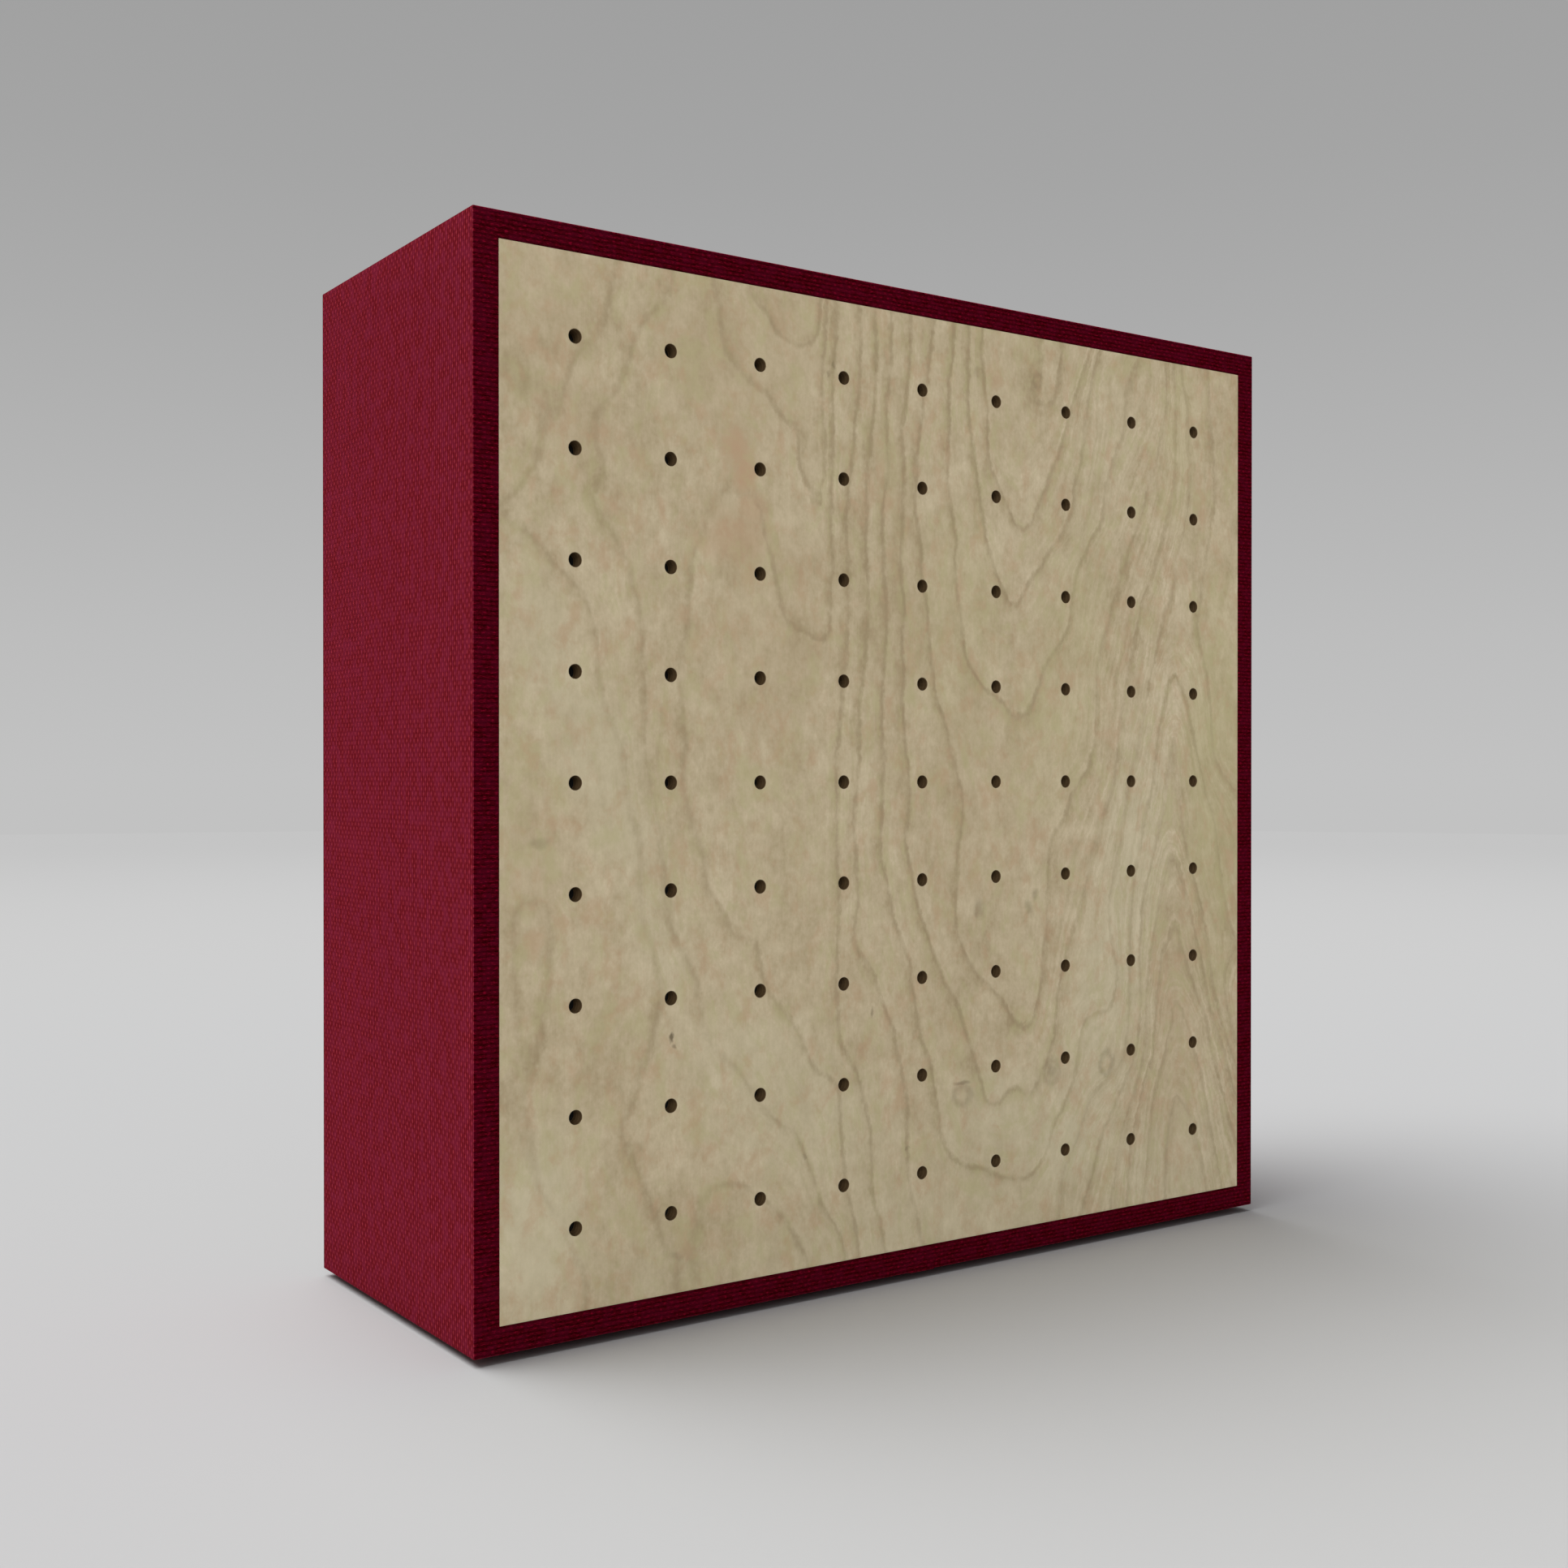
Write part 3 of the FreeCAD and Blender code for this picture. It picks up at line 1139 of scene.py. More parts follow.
FLAME = VeneerFigure(
    lines=(
        (1, (96, 585, 97, 568, 99, 554, 104, 543, 109, 545, 113, 560, 117, 585)),
        (2, (48, 585, 48, 570, 50, 550, 52, 530, 52, 512, 55, 497, 62, 485, 70, 473, 75, 466, 82,
            460, 90, 465, 95, 475, 102, 490, 107, 500, 112, 510, 117, 522, 121, 531, 125, 545, 130,
            556, 135, 567, 141, 581, 143, 585)),
        (3, (37, 585, 37, 560, 37, 535, 40, 519, 42, 500, 46, 480, 49, 465, 53, 450, 58, 435, 63,
            425, 68, 419, 75, 412, 82, 418, 88, 428, 98, 440, 107, 451, 115, 457, 121, 468, 126,
            480, 128, 495, 132, 506, 135, 520, 138, 535, 140, 550, 143, 565, 148, 578, 151, 585)),
        (4, (25, 585, 24, 560, 21, 550, 21, 530, 20, 510, 21, 490, 23, 470, 27, 450, 26, 437, 28,
            420, 31, 405, 33, 388, 36, 375, 41, 369, 49, 361, 57, 355, 66, 350, 72, 343, 80, 341,
            87, 343, 92, 353, 98, 364, 105, 378, 113, 386, 119, 396, 123, 405, 125, 415, 130, 435,
            138, 450, 143, 460, 151, 470, 153, 481, 156, 495, 161, 508, 166, 520, 171, 531, 174,
            545, 176, 562, 180, 573, 188, 585)),
        (5, (10, 585, 7, 570, 5, 555, 2, 540, 0, 525, -3, 512, -5, 500, -5, 486, -6, 470, -4, 457,
            -1, 440, 0, 425, 3, 410, 4, 395, 6, 380, 8, 365, 11, 351, 17, 338, 21, 325, 26, 310,
            30, 300, 32, 285, 31, 266, 28, 246, 28, 230, 27, 215, 28, 203, 32, 194, 39, 184, 48,
            176, 57, 170, 65, 162, 72, 152, 80, 145, 88, 143, 94, 153, 97, 163, 100, 177, 101, 188,
            103, 205, 104, 225, 105, 243, 106, 256, 109, 267, 117, 274, 122, 284, 127, 294, 133,
            301, 140, 308, 144, 318, 146, 330, 147, 345, 148, 357, 149, 375, 152, 385, 155, 395,
            160, 408, 163, 419, 167, 430, 172, 442, 177, 454, 182, 465, 188, 478, 192, 489, 197,
            501, 202, 513, 207, 527, 211, 540, 213, 554, 213, 570, 212, 585)),
        (6, (-9, 585, -10, 565, -11, 547, -13, 535, -16, 516, -15, 500, -15, 485, -16, 460, -17,
            445, -17, 425, -15, 405, -15, 390, -16, 379, -15, 365, -16, 345, -14, 326, -12, 311,
            -11, 295, -11, 281, -13, 267, -10, 250, -7, 237, -4, 225, 0, 213, 4, 205, 8, 195, 13,
            187, 18, 174, 26, 164, 32, 152, 37, 139, 43, 124, 47, 112, 51, 101, 58, 96, 66, 99, 75,
            105, 85, 100, 92, 101, 98, 110, 105, 123, 109, 137, 111, 148, 113, 159, 115, 171, 121,
            185, 124, 197, 130, 209, 134, 220, 138, 233, 142, 247, 147, 258, 152, 271, 157, 283,
            162, 297, 165, 310, 168, 326, 168, 338, 172, 352, 173, 363, 177, 375, 181, 385, 184,
            396, 187, 410, 189, 420, 195, 430, 200, 440, 205, 452, 210, 465, 214, 480, 219, 495,
            222, 520, 222, 550, 220, 585)),
        (7, (-24, 585, -24, 570, -26, 545, -27, 530, -28, 510, -27, 490, -29, 475, -31, 460, -30,
            440, -29, 415, -28, 395, -30, 375, -31, 350, -32, 330, -30, 315, -31, 300, -31, 285,
            -32, 270, -33, 255, -29, 243, -26, 230, -22, 217, -16, 204, -10, 190, -8, 175, -5, 160,
            -2, 146, 5, 131, 8, 120, 10, 106, 13, 90, 17, 78, 24, 66, 33, 60, 45, 57, 60, 51, 75,
            47, 88, 47, 100, 55, 106, 66, 111, 79, 117, 87, 123, 95, 129, 106, 131, 118, 132, 132,
            136, 143, 145, 148, 154, 148, 161, 151, 165, 160, 166, 175, 163, 189, 159, 204, 159,
            218, 162, 232, 164, 242, 167, 253, 170, 265, 174, 280, 176, 292, 180, 308, 183, 315,
            187, 327, 190, 338, 193, 348, 196, 357, 199, 372, 203, 384, 206, 395, 210, 407, 214,
            418, 219, 430, 222, 447, 226, 460, 229, 470, 232, 481, 235, 500, 236, 515, 234, 535,
            234, 548, 233, 562, 229, 571, 227, 585)),
        (7, (253, 585, 255, 570, 257, 550, 259, 535, 260, 515, 260, 500, 258, 480, 256, 465, 251,
            450, 248, 437, 246, 420, 244, 408, 246, 396, 250, 380, 254, 366, 257, 350, 258, 335,
            259, 321, 263, 313, 272, 302, 285, 292)),
        (8, (-37, 585, -36, 560, -37, 537, -38, 520, -41, 501, -42, 486, -43, 470, -44, 451, -43,
            430, -42, 405, -43, 390, -44, 375, -46, 362, -49, 345, -49, 325, -49, 310, -51, 290,
            -52, 275, -51, 258, -50, 240, -49, 225, -52, 212, -52, 203, -47, 195, -42, 189, -37,
            181, -33, 171, -27, 161, -22, 148, -19, 135, -15, 120, -13, 109, -12, 95, -11, 77, -10,
            60, -7, 45, -3, 30, 0, 16)),
        (8, (114, 16, 115, 25, 117, 38, 119, 47, 126, 60, 132, 71, 138, 82, 143, 93, 155, 100, 168,
            108, 173, 118, 176, 130, 178, 150, 179, 168, 178, 190, 180, 208, 181, 225, 187, 250,
            193, 275, 200, 293, 203, 310, 205, 330, 209, 345, 214, 362, 219, 373, 225, 369, 232,
            355, 237, 340, 242, 325, 246, 310, 252, 295, 257, 284, 262, 271, 264, 255, 267, 240,
            270, 225, 275, 207, 285, 185)),
        (9, (-48, 585, -47, 558, -49, 532, -51, 512, -54, 490, -55, 475, -58, 460, -58, 445, -57,
            425, -57, 405, -57, 386, -59, 370, -61, 350, -64, 330, -65, 315, -65, 300, -65, 283,
            -65, 265, -64, 246, -63, 230, -64, 210, -65, 190, -65, 170, -64, 152, -60, 140, -52,
            128, -47, 115, -43, 104, -41, 95, -40, 80, -40, 65, -39, 52, -35, 42, -31, 29, -28,
            16)),
        (9, (134, 16, 138, 27, 142, 37, 147, 50, 150, 60, 154, 69, 161, 78, 170, 92, 178, 106, 184,
            118, 188, 130, 189, 147, 189, 165, 188, 190, 190, 210, 192, 225, 201, 250, 208, 275,
            214, 300, 217, 322, 220, 331, 223, 314, 226, 290, 229, 267, 234, 249, 241, 232, 247,
            214, 251, 200, 255, 188, 257, 175, 259, 160, 265, 140, 275, 115, 285, 95)),
        (10, (-66, 585, -66, 560, -68, 535, -69, 515, -69, 495, -69, 470, -69, 440, -69, 410, -70,
            388, -76, 385, -86, 388, -97, 390, -106, 400, -109, 418, -112, 432, -117, 446, -120,
            458, -125, 464, -136, 464, -146, 467, -152, 463, -155, 450, -160, 440, -165, 430, -167,
            415, -168, 400, -169, 387, -173, 371, -173, 350, -171, 327, -171, 310, -172, 298, -169,
            287, -165, 276, -160, 262, -158, 250, -156, 240, -150, 232, -144, 225, -140, 214, -129,
            211, -121, 204, -119, 191, -114, 180, -107, 170, -98, 161, -90, 150, -86, 139, -81,
            129, -71, 125, -64, 118, -62, 106, -61, 85, -58, 60, -52, 35, -49, 16)),
        (10, (161, 16, 162, 27, 166, 37, 168, 49, 171, 61, 174, 69, 181, 86, 188, 102, 194, 118,
            193, 140, 194, 155, 197, 171, 199, 186, 204, 205, 210, 226, 215, 243, 220, 250, 226,
            240, 233, 222, 240, 203, 246, 185, 251, 165, 256, 148, 265, 125, 277, 95)),
        (11, (-153, 585, -149, 572, -147, 557, -142, 543, -135, 537, -129, 530, -121, 526, -113,
            520, -107, 513, -99, 509, -92, 505, -93, 495, -90, 481, -83, 471, -75, 467, -73, 480,
            -74, 510, -75, 540, -73, 585)),
        (11, (-178, 585, -183, 569, -194, 558, -203, 546, -208, 528, -216, 512, -224, 502, -227,
            489, -223, 475, -224, 464, -229, 457, -227, 447, -221, 440, -213, 430, -207, 419, -204,
            407, -199, 393, -198, 375, -197, 350, -197, 335, -198, 320, -195, 303, -191, 285, -187,
            271, -184, 255, -183, 240, -182, 225, -178, 212, -170, 203, -164, 193, -163, 180, -160,
            165, -151, 150, -139, 138, -128, 127, -118, 112, -109, 103, -96, 96, -89, 82, -83, 70,
            -79, 57, -76, 48, -69, 40, -62, 28, -58, 16)),
        (11, (176, 16, 178, 35, 181, 55, 184, 68, 187, 78, 191, 92, 198, 110, 202, 130, 203, 150,
            207, 164, 208, 178, 214, 191, 221, 202, 227, 190, 232, 180, 237, 166, 243, 155, 247,
            148, 253, 135, 256, 121, 260, 108, 268, 85, 277, 60, 285, 45)),
        (12, (-127, 585, -122, 576, -113, 567, -108, 559, -98, 556, -86, 556, -79, 562, -77, 573,
            -77, 585)),
        (12, (-213, 585, -217, 567, -220, 553, -228, 540, -241, 528, -246, 510, -249, 495, -256,
            497, -264, 502, -275, 509, -285, 519)),
        (12, (-285, 445, -268, 432, -248, 415, -232, 397, -227, 376, -226, 357, -221, 346, -217,
            333, -212, 322, -209, 309, -208, 297, -205, 285, -200, 270, -199, 255, -200, 240, -198,
            226, -194, 215, -190, 203, -186, 190, -187, 176, -190, 165, -195, 150, -200, 137, -205,
            122, -212, 111, -207, 99, -202, 88, -196, 73, -192, 61, -188, 49, -182, 36, -176, 16)),
        (12, (-166, 16, -166, 38, -163, 52, -157, 66, -148, 71, -138, 72, -125, 66, -115, 57, -104,
            48, -94, 31, -85, 16)),
        (12, (192, 16, 194, 28, 197, 45, 197, 60, 199, 70, 201, 85, 206, 100, 211, 112, 216, 125,
            219, 138, 222, 149, 226, 148, 232, 135, 238, 120, 243, 109, 249, 95, 252, 80, 256, 65,
            262, 40, 268, 16)),
        (13, (213, 16, 213, 30, 213, 45, 215, 60, 218, 75, 222, 86, 228, 80, 234, 74, 240, 62, 246,
            45, 252, 25, 255, 16)),
        (13, (-266, 238, -273, 236, -277, 222, -277, 205, -276, 186, -274, 167, -269, 156, -264,
            151, -260, 162, -257, 180, -256, 200, -256, 222, -259, 235, -266, 238)),
        (13, (-285, 140, -276, 130, -268, 120, -266, 99, -263, 87, -257, 78, -250, 67, -245, 57,
            -240, 45, -235, 35, -233, 25, -234, 16)),
    ),
    between=(
        (-115, 300, 9.5),
        (-115, 250, 9.5),
        (-100, 350, 9.6),
        (80, 240, 4.5),
        (65, 300, 4.4),
        (-100, 440, 10.4),
        (-190, 470, 10.6),
        (-240, 250, 12.5),
        (-230, 150, 12.5),
        (-267, 195, 13.35),
        (220, 300, 9.4),
        (-284, 235, 12.6),
        (-284, 175, 12.6),
        (-282, 330, 12.7),
        (-280, 480, 12.4),
    ),
)


# The pieces


def ride_as(piece: bpy.types.Object, nodes: Sequence[str] = ()) -> None:
    """Ties a new piece to the box, hides the nodes that it stands for and logs its faces.

    Args:
        piece: the new piece.
        nodes: the nodes that it replaces.
    """
    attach(piece, "root")
    if nodes:
        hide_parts(*nodes)
    LOG.info("%s: %d faces", piece.name, len(piece.data.polygons))


@dataclass
class FrontPanel:
    """The plywood panel with its grid of drilled holes, each edge lightly broken."""

    node: str = "front_panel"
    hole_radius: float = 4.0 * MM
    pitch: float = 60.0 * MM
    holes_a_side: int = 9
    hole_edge: float = 0.22 * MM
    panel_edge: float = 0.20 * MM
    steps_a_side: int = 16
    spread: tuple[float, ...] = (0.0, 0.05, 0.14, 0.30, 0.52, 0.76, 1.0)
    margin_spread: tuple[float, ...] = (0.0, 0.35, 0.7, 1.0)
    face_depth: float = 0.5 * MM

    def __post_init__(self) -> None:
        """Reads the panel's place from its node."""
        self.low, self.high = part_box(self.node)
        self.middle_z = (self.low.z + self.high.z) / 2
        self.foot_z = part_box("cloth_cover")[0].z
        self.centres = [
            (index - (self.holes_a_side - 1) / 2) * self.pitch for index in range(self.holes_a_side)
        ]

    def square(self, half: float, steps: int) -> list[tuple[float, float]]:
        """Points at even steps round a square, from its lower right corner upwards.

        Args:
            half: half its side.
            steps: how many steps a side has.

        Returns:
            The points as pairs.
        """
        corners = [(half, -half), (half, half), (-half, half), (-half, -half)]
        points = []
        for (x0, z0), (x1, z1) in zip(corners, corners[1:] + corners[:1]):
            for step in range(steps):
                share = step / steps
                points.append((x0 + (x1 - x0) * share, z0 + (z1 - z0) * share))
        return points

    def drill(self, maker: MeshMaker, across: float, up: float) -> None:
        """One hole with the square of panel round it, in front and behind.

        Args:
            maker: the panel's mesh so far.
            across: the hole's place from the middle.
            up: its height.
        """
        rim = self.square(self.pitch / 2, self.steps_a_side)

        def ring(radius: float, y: float, share: float = 0.0) -> list[int]:
            """The loop at a share of the way from a circle of the hole to the square round it.

            Args:
                radius: the circle's radius.
                y: the loop's depth.
                share: 0 on the circle and 1 on the square.

            Returns:
                The numbers of its points.
            """
            places = []
            for x, z in rim:
                start_x, start_z = (part / math.hypot(x, z) * radius for part in (x, z))
                out_x, out_z = start_x + (x - start_x) * share, start_z + (z - start_z) * share
                places.append((across + out_x, y, up + out_z))
            return maker.loop(places)

        broken = self.hole_radius + self.hole_edge
        loops = [ring(broken, self.low.y, share) for share in reversed(self.spread)]
        loops.append(ring(self.hole_radius, self.low.y + self.hole_edge))
        loops.append(ring(self.hole_radius, self.high.y - self.hole_edge))
        loops += [ring(broken, self.high.y, share) for share in (0.0, 1.0)]
        maker.skins(loops)

    def frame_round(self, maker: MeshMaker) -> None:
        """The strip between the drilled squares and the panel's broken edges.

        Args:
            maker: the panel's mesh so far.
        """
        half = self.pitch * self.holes_a_side / 2
        full = (self.high.x - self.low.x) / 2
        rim = self.square(1.0, self.steps_a_side * self.holes_a_side)
        edge = self.panel_edge
        margin = full - edge - half
        profile = [(half + margin * share, self.low.y) for share in self.margin_spread]
        profile += [(full, self.low.y + edge), (full, self.high.y - edge)]
        profile += [(half + margin * share, self.high.y) for share in (1.0, 0.0)]
        maker.skins(
            [
                maker.loop((x * size, y, self.middle_z + z * size) for x, z in rim)
                for size, y in profile
            ]
        )

    def lay_figure(self, mesh: bpy.types.Mesh) -> None:
        """Stores the figure's height and slope at each point of the face.

        Args:
            mesh: the panel's mesh.
        """
        count = len(mesh.vertices)
        places = np.empty(count * 3)
        mesh.vertices.foreach_get("co", places)
        places = places.reshape(-1, 3)
        shown = places[:, 1] < self.low.y + self.face_depth
        flat = (places[shown][:, [0, 2]] - [0.0, self.foot_z]) / MM
        height, slope = FLAME.measure(flat)
        for name, found in ((FIGURE, height), (FIGURE_SLOPE, slope)):
            numbers = np.zeros(count, np.float32)
            numbers[shown] = found
            mesh.attributes.new(name, "FLOAT", "POINT").data.foreach_set("value", numbers)

    def build(self) -> None:
        """Makes the panel."""
        maker = MeshMaker()
        for across in self.centres:
            for up in self.centres:
                self.drill(maker, across, self.middle_z + up)
        self.frame_round(maker)
        piece = maker.build("perforated_front", [BirchFinish().build()])
        self.lay_figure(piece.data)
        ride_as(piece, [self.node])


@dataclass
class CoverCloth:
    """The cloth wrapped round the frame, turned over its edges and tucked into both rebates."""

    node: str = "cloth_cover"
    thickness: float = 0.8 * MM
    border: float = 15.0 * MM
    fit_gap: float = 0.2 * MM
    board: float = 22.0 * MM
    panel_depth: float = 10.0 * MM
    back_depth: float = 5.0 * MM
    inner_turn: float = 0.3 * MM
    corner_turns: int = 4
    edge_turns: int = 3
    stations_a_side: int = 24
    seam_half: float = 9.0 * MM
    seam_lift: float = 0.6 * MM
    seam_slope: float = 0.5 * MM
    join_overlap: float = 30.0 * MM
    least_radius: float = 0.15 * MM
    side_ends_at: float = 0.45
    front_spread: tuple[float, ...] = (0.35, 0.7)
    side_spread: tuple[float, ...] = (0.1, 0.2, 0.3, 0.4, 0.5, 0.6, 0.7, 0.8, 0.9)
    back_spread: tuple[float, ...] = (0.3, 0.65)

    def __post_init__(self) -> None:
        """Reads the cloth's place from its node."""
        self.low, self.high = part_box(self.node)
        self.half = (self.high.x - self.low.x) / 2
        self.middle_z = (self.low.z + self.high.z) / 2

    def quarter(
        self, inset: float, y: float, radius: float, inward: int, onward: int
    ) -> list[tuple[float, float]]:
        """A rounded turn of the profile, from the face in y to the face in inset.

        Args:
            inset: the inset of the face that the turn ends on.
            y: the depth of the face that it starts on.
            radius: its radius.
            inward: 1 where the border lies at larger insets, -1 where at smaller.
            onward: 1 where the turn goes backwards in depth, -1 where forwards.

        Returns:
            The points as inset and depth.
        """
        points = []
        for step in range(self.edge_turns + 1):
            angle = math.pi / 2 * step / self.edge_turns
            in_by, on_by = radius * (1 - math.sin(angle)), radius * (1 - math.cos(angle))
            points.append((inset + inward * in_by, y + onward * on_by))
        return points

    def outer_profile(self) -> list[tuple[float, float]]:
        """The outside of the cloth from the front rebate to the rear one.

        Returns:
            The points as inset and depth.
        """
        front, back = self.low.y, self.high.y
        lip = self.border - self.fit_gap
        ledge = self.thickness + self.board
        turn, small = self.thickness, self.inner_turn
        points = [(ledge, front + self.panel_depth), (lip, front + self.panel_depth)]
        points += self.quarter(lip, front, small, -1, 1)[::-1]
        points += [(lip - (lip - turn) * share, front) for share in self.front_spread]
        points += self.quarter(0.0, front, turn, 1, 1)
        depth = back - front - 2 * turn
        points += [(0.0, front + turn + depth * share) for share in self.side_spread]
        points += self.quarter(0.0, back, turn, 1, -1)[::-1]
        points += [(turn + (lip - turn) * share, back) for share in self.back_spread]
        points += self.quarter(lip, back, small, -1, -1)
        points += [(lip, back - self.back_depth), (ledge, back - self.back_depth)]
        return points

    def inner_profile(self) -> list[tuple[float, float]]:
        """The side that lies on the boards, from the rear rebate to the front one.

        Returns:
            The points as inset and depth.
        """
        front, back, thick = self.low.y, self.high.y, self.thickness
        wall = self.border - self.fit_gap - thick
        ledge = thick + self.board
        rear = [(ledge, -self.back_depth), (wall, -self.back_depth), (wall, 0.0), (thick, 0.0)]
        points = [(inset, back + depth - thick) for inset, depth in rear]
        ahead = [(thick, 0.0), (wall, 0.0), (wall, self.panel_depth), (ledge, self.panel_depth)]
        points += [(inset, front + depth + thick) for inset, depth in ahead]
        return points

    def stations(self) -> list[list[float]]:
        """Where each side has points; the underside has more at the lapped join.

        Returns:
            For the right, top, left and bottom side the shares of its length.
        """
        even = [step / self.stations_a_side for step in range(self.stations_a_side + 1)]
        length = 2 * (self.half - self.thickness)
        wide, foot = self.seam_half, self.seam_half + self.seam_slope
        lap = [0.5 + offset / length for offset in (-foot, -wide, 0.0, wide, foot)]
        clear = [share for share in even if abs(share - 0.5) * length > foot]
        return [even, even, even, sorted(clear + lap)]

    def ring(self, maker: MeshMaker, inset: float, y: float, outside: bool) -> list[int]:
        """The loop of cloth at one point of the profile.

        Args:
            maker: the cloth's mesh so far.
            inset: how far the loop lies inside the box's outside.
            y: its depth.
            outside: whether it shows, so that it steps over the join.

        Returns:
            The numbers of its points.
        """
        radius = max(self.thickness - inset, self.least_radius)
        points = rounded_square(self.half - inset, radius, self.corner_turns, self.stations())
        shows = outside and inset < self.thickness
        places = []
        for x, z in points:
            lapped = shows and z < 0 and abs(x) < self.seam_half + self.seam_slope / 2
            drop = self.seam_lift if lapped else 0.0
            places.append((x, y, self.middle_z + z - drop))
        return maker.loop(places)

    def build(self) -> None:
        """Makes the cloth, with flat coordinates that its weave follows."""
        maker = MeshMaker()
        outer, inner = self.outer_profile(), self.inner_profile()
        rings = [self.ring(maker, inset, y, True) for inset, y in outer]
        rings += [self.ring(maker, inset, y, False) for inset, y in inner]
        profile = outer + inner
        run = [0.0]
        for (a, b), (c, d) in zip(profile, profile[1:]):
            run.append(run[-1] + math.hypot(c - a, d - b))
        base = rings[len(outer) // 2]
        loop_run = [0.0]
        for first, second in zip(base, base[1:] + base[:1]):
            gap = Vector(maker.points[first]) - Vector(maker.points[second])
            loop_run.append(loop_run[-1] + gap.length)
        for k, first in enumerate(rings):
            following = (k + 1) % len(rings)
            second = rings[following]
            (inset_a, y_a), (inset_b, y_b) = profile[k], profile[following]
            # The sides' lighter copy, with painted light, ends half way round the turn over each
            # edge, where the darker copy with painted shade begins.
            side_end = self.side_ends_at * self.thickness
            on_side = k < len(outer) - 1 and (inset_a + inset_b) / 2 < side_end
            on_border = abs(y_a - y_b) < abs(inset_a - inset_b)
            near, far = run[k], run[k] + math.hypot(inset_b - inset_a, y_b - y_a)
            for m, n in enumerate([*range(1, len(base)), 0]):
                indices = (first[m], first[n], second[n], second[m])
                if on_border:
                    # One metre is added so that the flat coordinates stay above 0.
                    places = [maker.points[index] for index in indices]
                    corners = [(place[0] + 1.0, place[2] + 1.0) for place in places]
                else:
                    here, there = loop_run[m], loop_run[m + 1]
                    corners = [(here, near), (there, near), (there, far), (here, far)]
                maker.face(indices, 0 if on_side else 1, corners)
        # The sides take the copy with painted light, the borders the darker copy with painted
        # shade.
        cloths = [SIDE_CLOTH_PAINTED_LIGHT.build(), EDGE_CLOTH_PAINTED_SHADE.build()]
        piece = maker.build("wrapped_cloth", cloths, crease=50.0)
        ride_as(piece, [self.node])


@dataclass
class BackScrews:
    """Small countersunk screws that hold the back board, with cross recesses."""

    node: str = "back_board"
    head_radius: float = 2.9 * MM
    edge_inset: float = 7.0 * MM
    across_a_side: int = 5
    recess_long: float = 1.45 * MM
    recess_half: float = 0.34 * MM
    recess_depth: float = 0.9 * MM
    steps: int = 32
    crown: tuple[tuple[float, float], ...] = (
        (1.0, -0.2 * MM),
        (1.0, 0.06 * MM),
        (0.93, 0.16 * MM),
        (0.72, 0.30 * MM),
    )
    recess: tuple[tuple[float, float], ...] = ((1.0, 0.0), (0.8, 0.4), (0.55, 0.5))
    off_line: float = 0.001
    seed: int = 11
    turns_drawn: int = 64

    def head(self) -> bpy.types.Mesh:
        """One head, its middle at the origin, facing backwards.

        Returns:
            The mesh.
        """
        maker = MeshMaker()

        def cross(scale: float, y: float) -> list[int]:
            """The outline of the recess at a depth.

            Args:
                scale: its size, where 1 is that at the top.
                y: its depth.

            Returns:
                The numbers of its points.
            """
            places = []
            for step in range(self.steps):
                # The small share keeps the points off the arms' middle lines.
                angle = 2 * math.pi * (step + self.off_line) / self.steps
                cos, sin = math.cos(angle), math.sin(angle)
                short_way, long_way = sorted((abs(cos), abs(sin)))
                radius = min(self.recess_long / long_way, self.recess_half / short_way) * scale
                places.append((radius * cos, y, radius * sin))
            return maker.loop(places)

        loops = []
        for share, y in self.crown:
            radius = self.head_radius * share
            loops.append(maker.loop((radius * x, y, radius * z) for x, z in circle(self.steps)))
        for scale, sunk in self.recess:
            loops.append(cross(scale, self.crown[-1][1] - self.recess_depth * sunk))
        maker.skins(loops)
        maker.face(loops[0][::-1])
        maker.face(loops[-1])
        sample = maker.build("screw_head", [ZincFinish().build()], crease=40.0)
        mesh = sample.data
        bpy.data.objects.remove(sample)
        return mesh

    def places(self) -> list[tuple[float, float]]:
        """Where the screws sit round the board's edge.

        Returns:
            For each screw its place across and up.
        """
        low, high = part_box(self.node)
        middle_z = (low.z + high.z) / 2
        reach = (high.x - low.x) / 2 - self.edge_inset
        shares = [2 * step / (self.across_a_side - 1) - 1 for step in range(self.across_a_side)]
        found = []
        for share in shares:
            for side in (-1, 1):
                found.append((reach * share, middle_z + reach * side))
                if abs(share) < 1:
                    found.append((reach * side, middle_z + reach * share))
        return found

    def build(self) -> None:
        """Makes one screw for each place."""
        mesh = self.head()
        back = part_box(self.node)[1].y
        turns = np.random.default_rng(self.seed).uniform(0.0, math.pi, self.turns_drawn)
        for number, (x, z) in enumerate(self.places(), 1):
            own = mesh.copy()
            cos, sin = math.cos(turns[number]), math.sin(turns[number])
            for vertex in own.vertices:
                a, b = vertex.co.x, vertex.co.z
                vertex.co = (x + a * cos - b * sin, back + vertex.co.y, z + a * sin + b * cos)
            ride_as(add_to_scene(f"back_screw_{number:02d}", own))


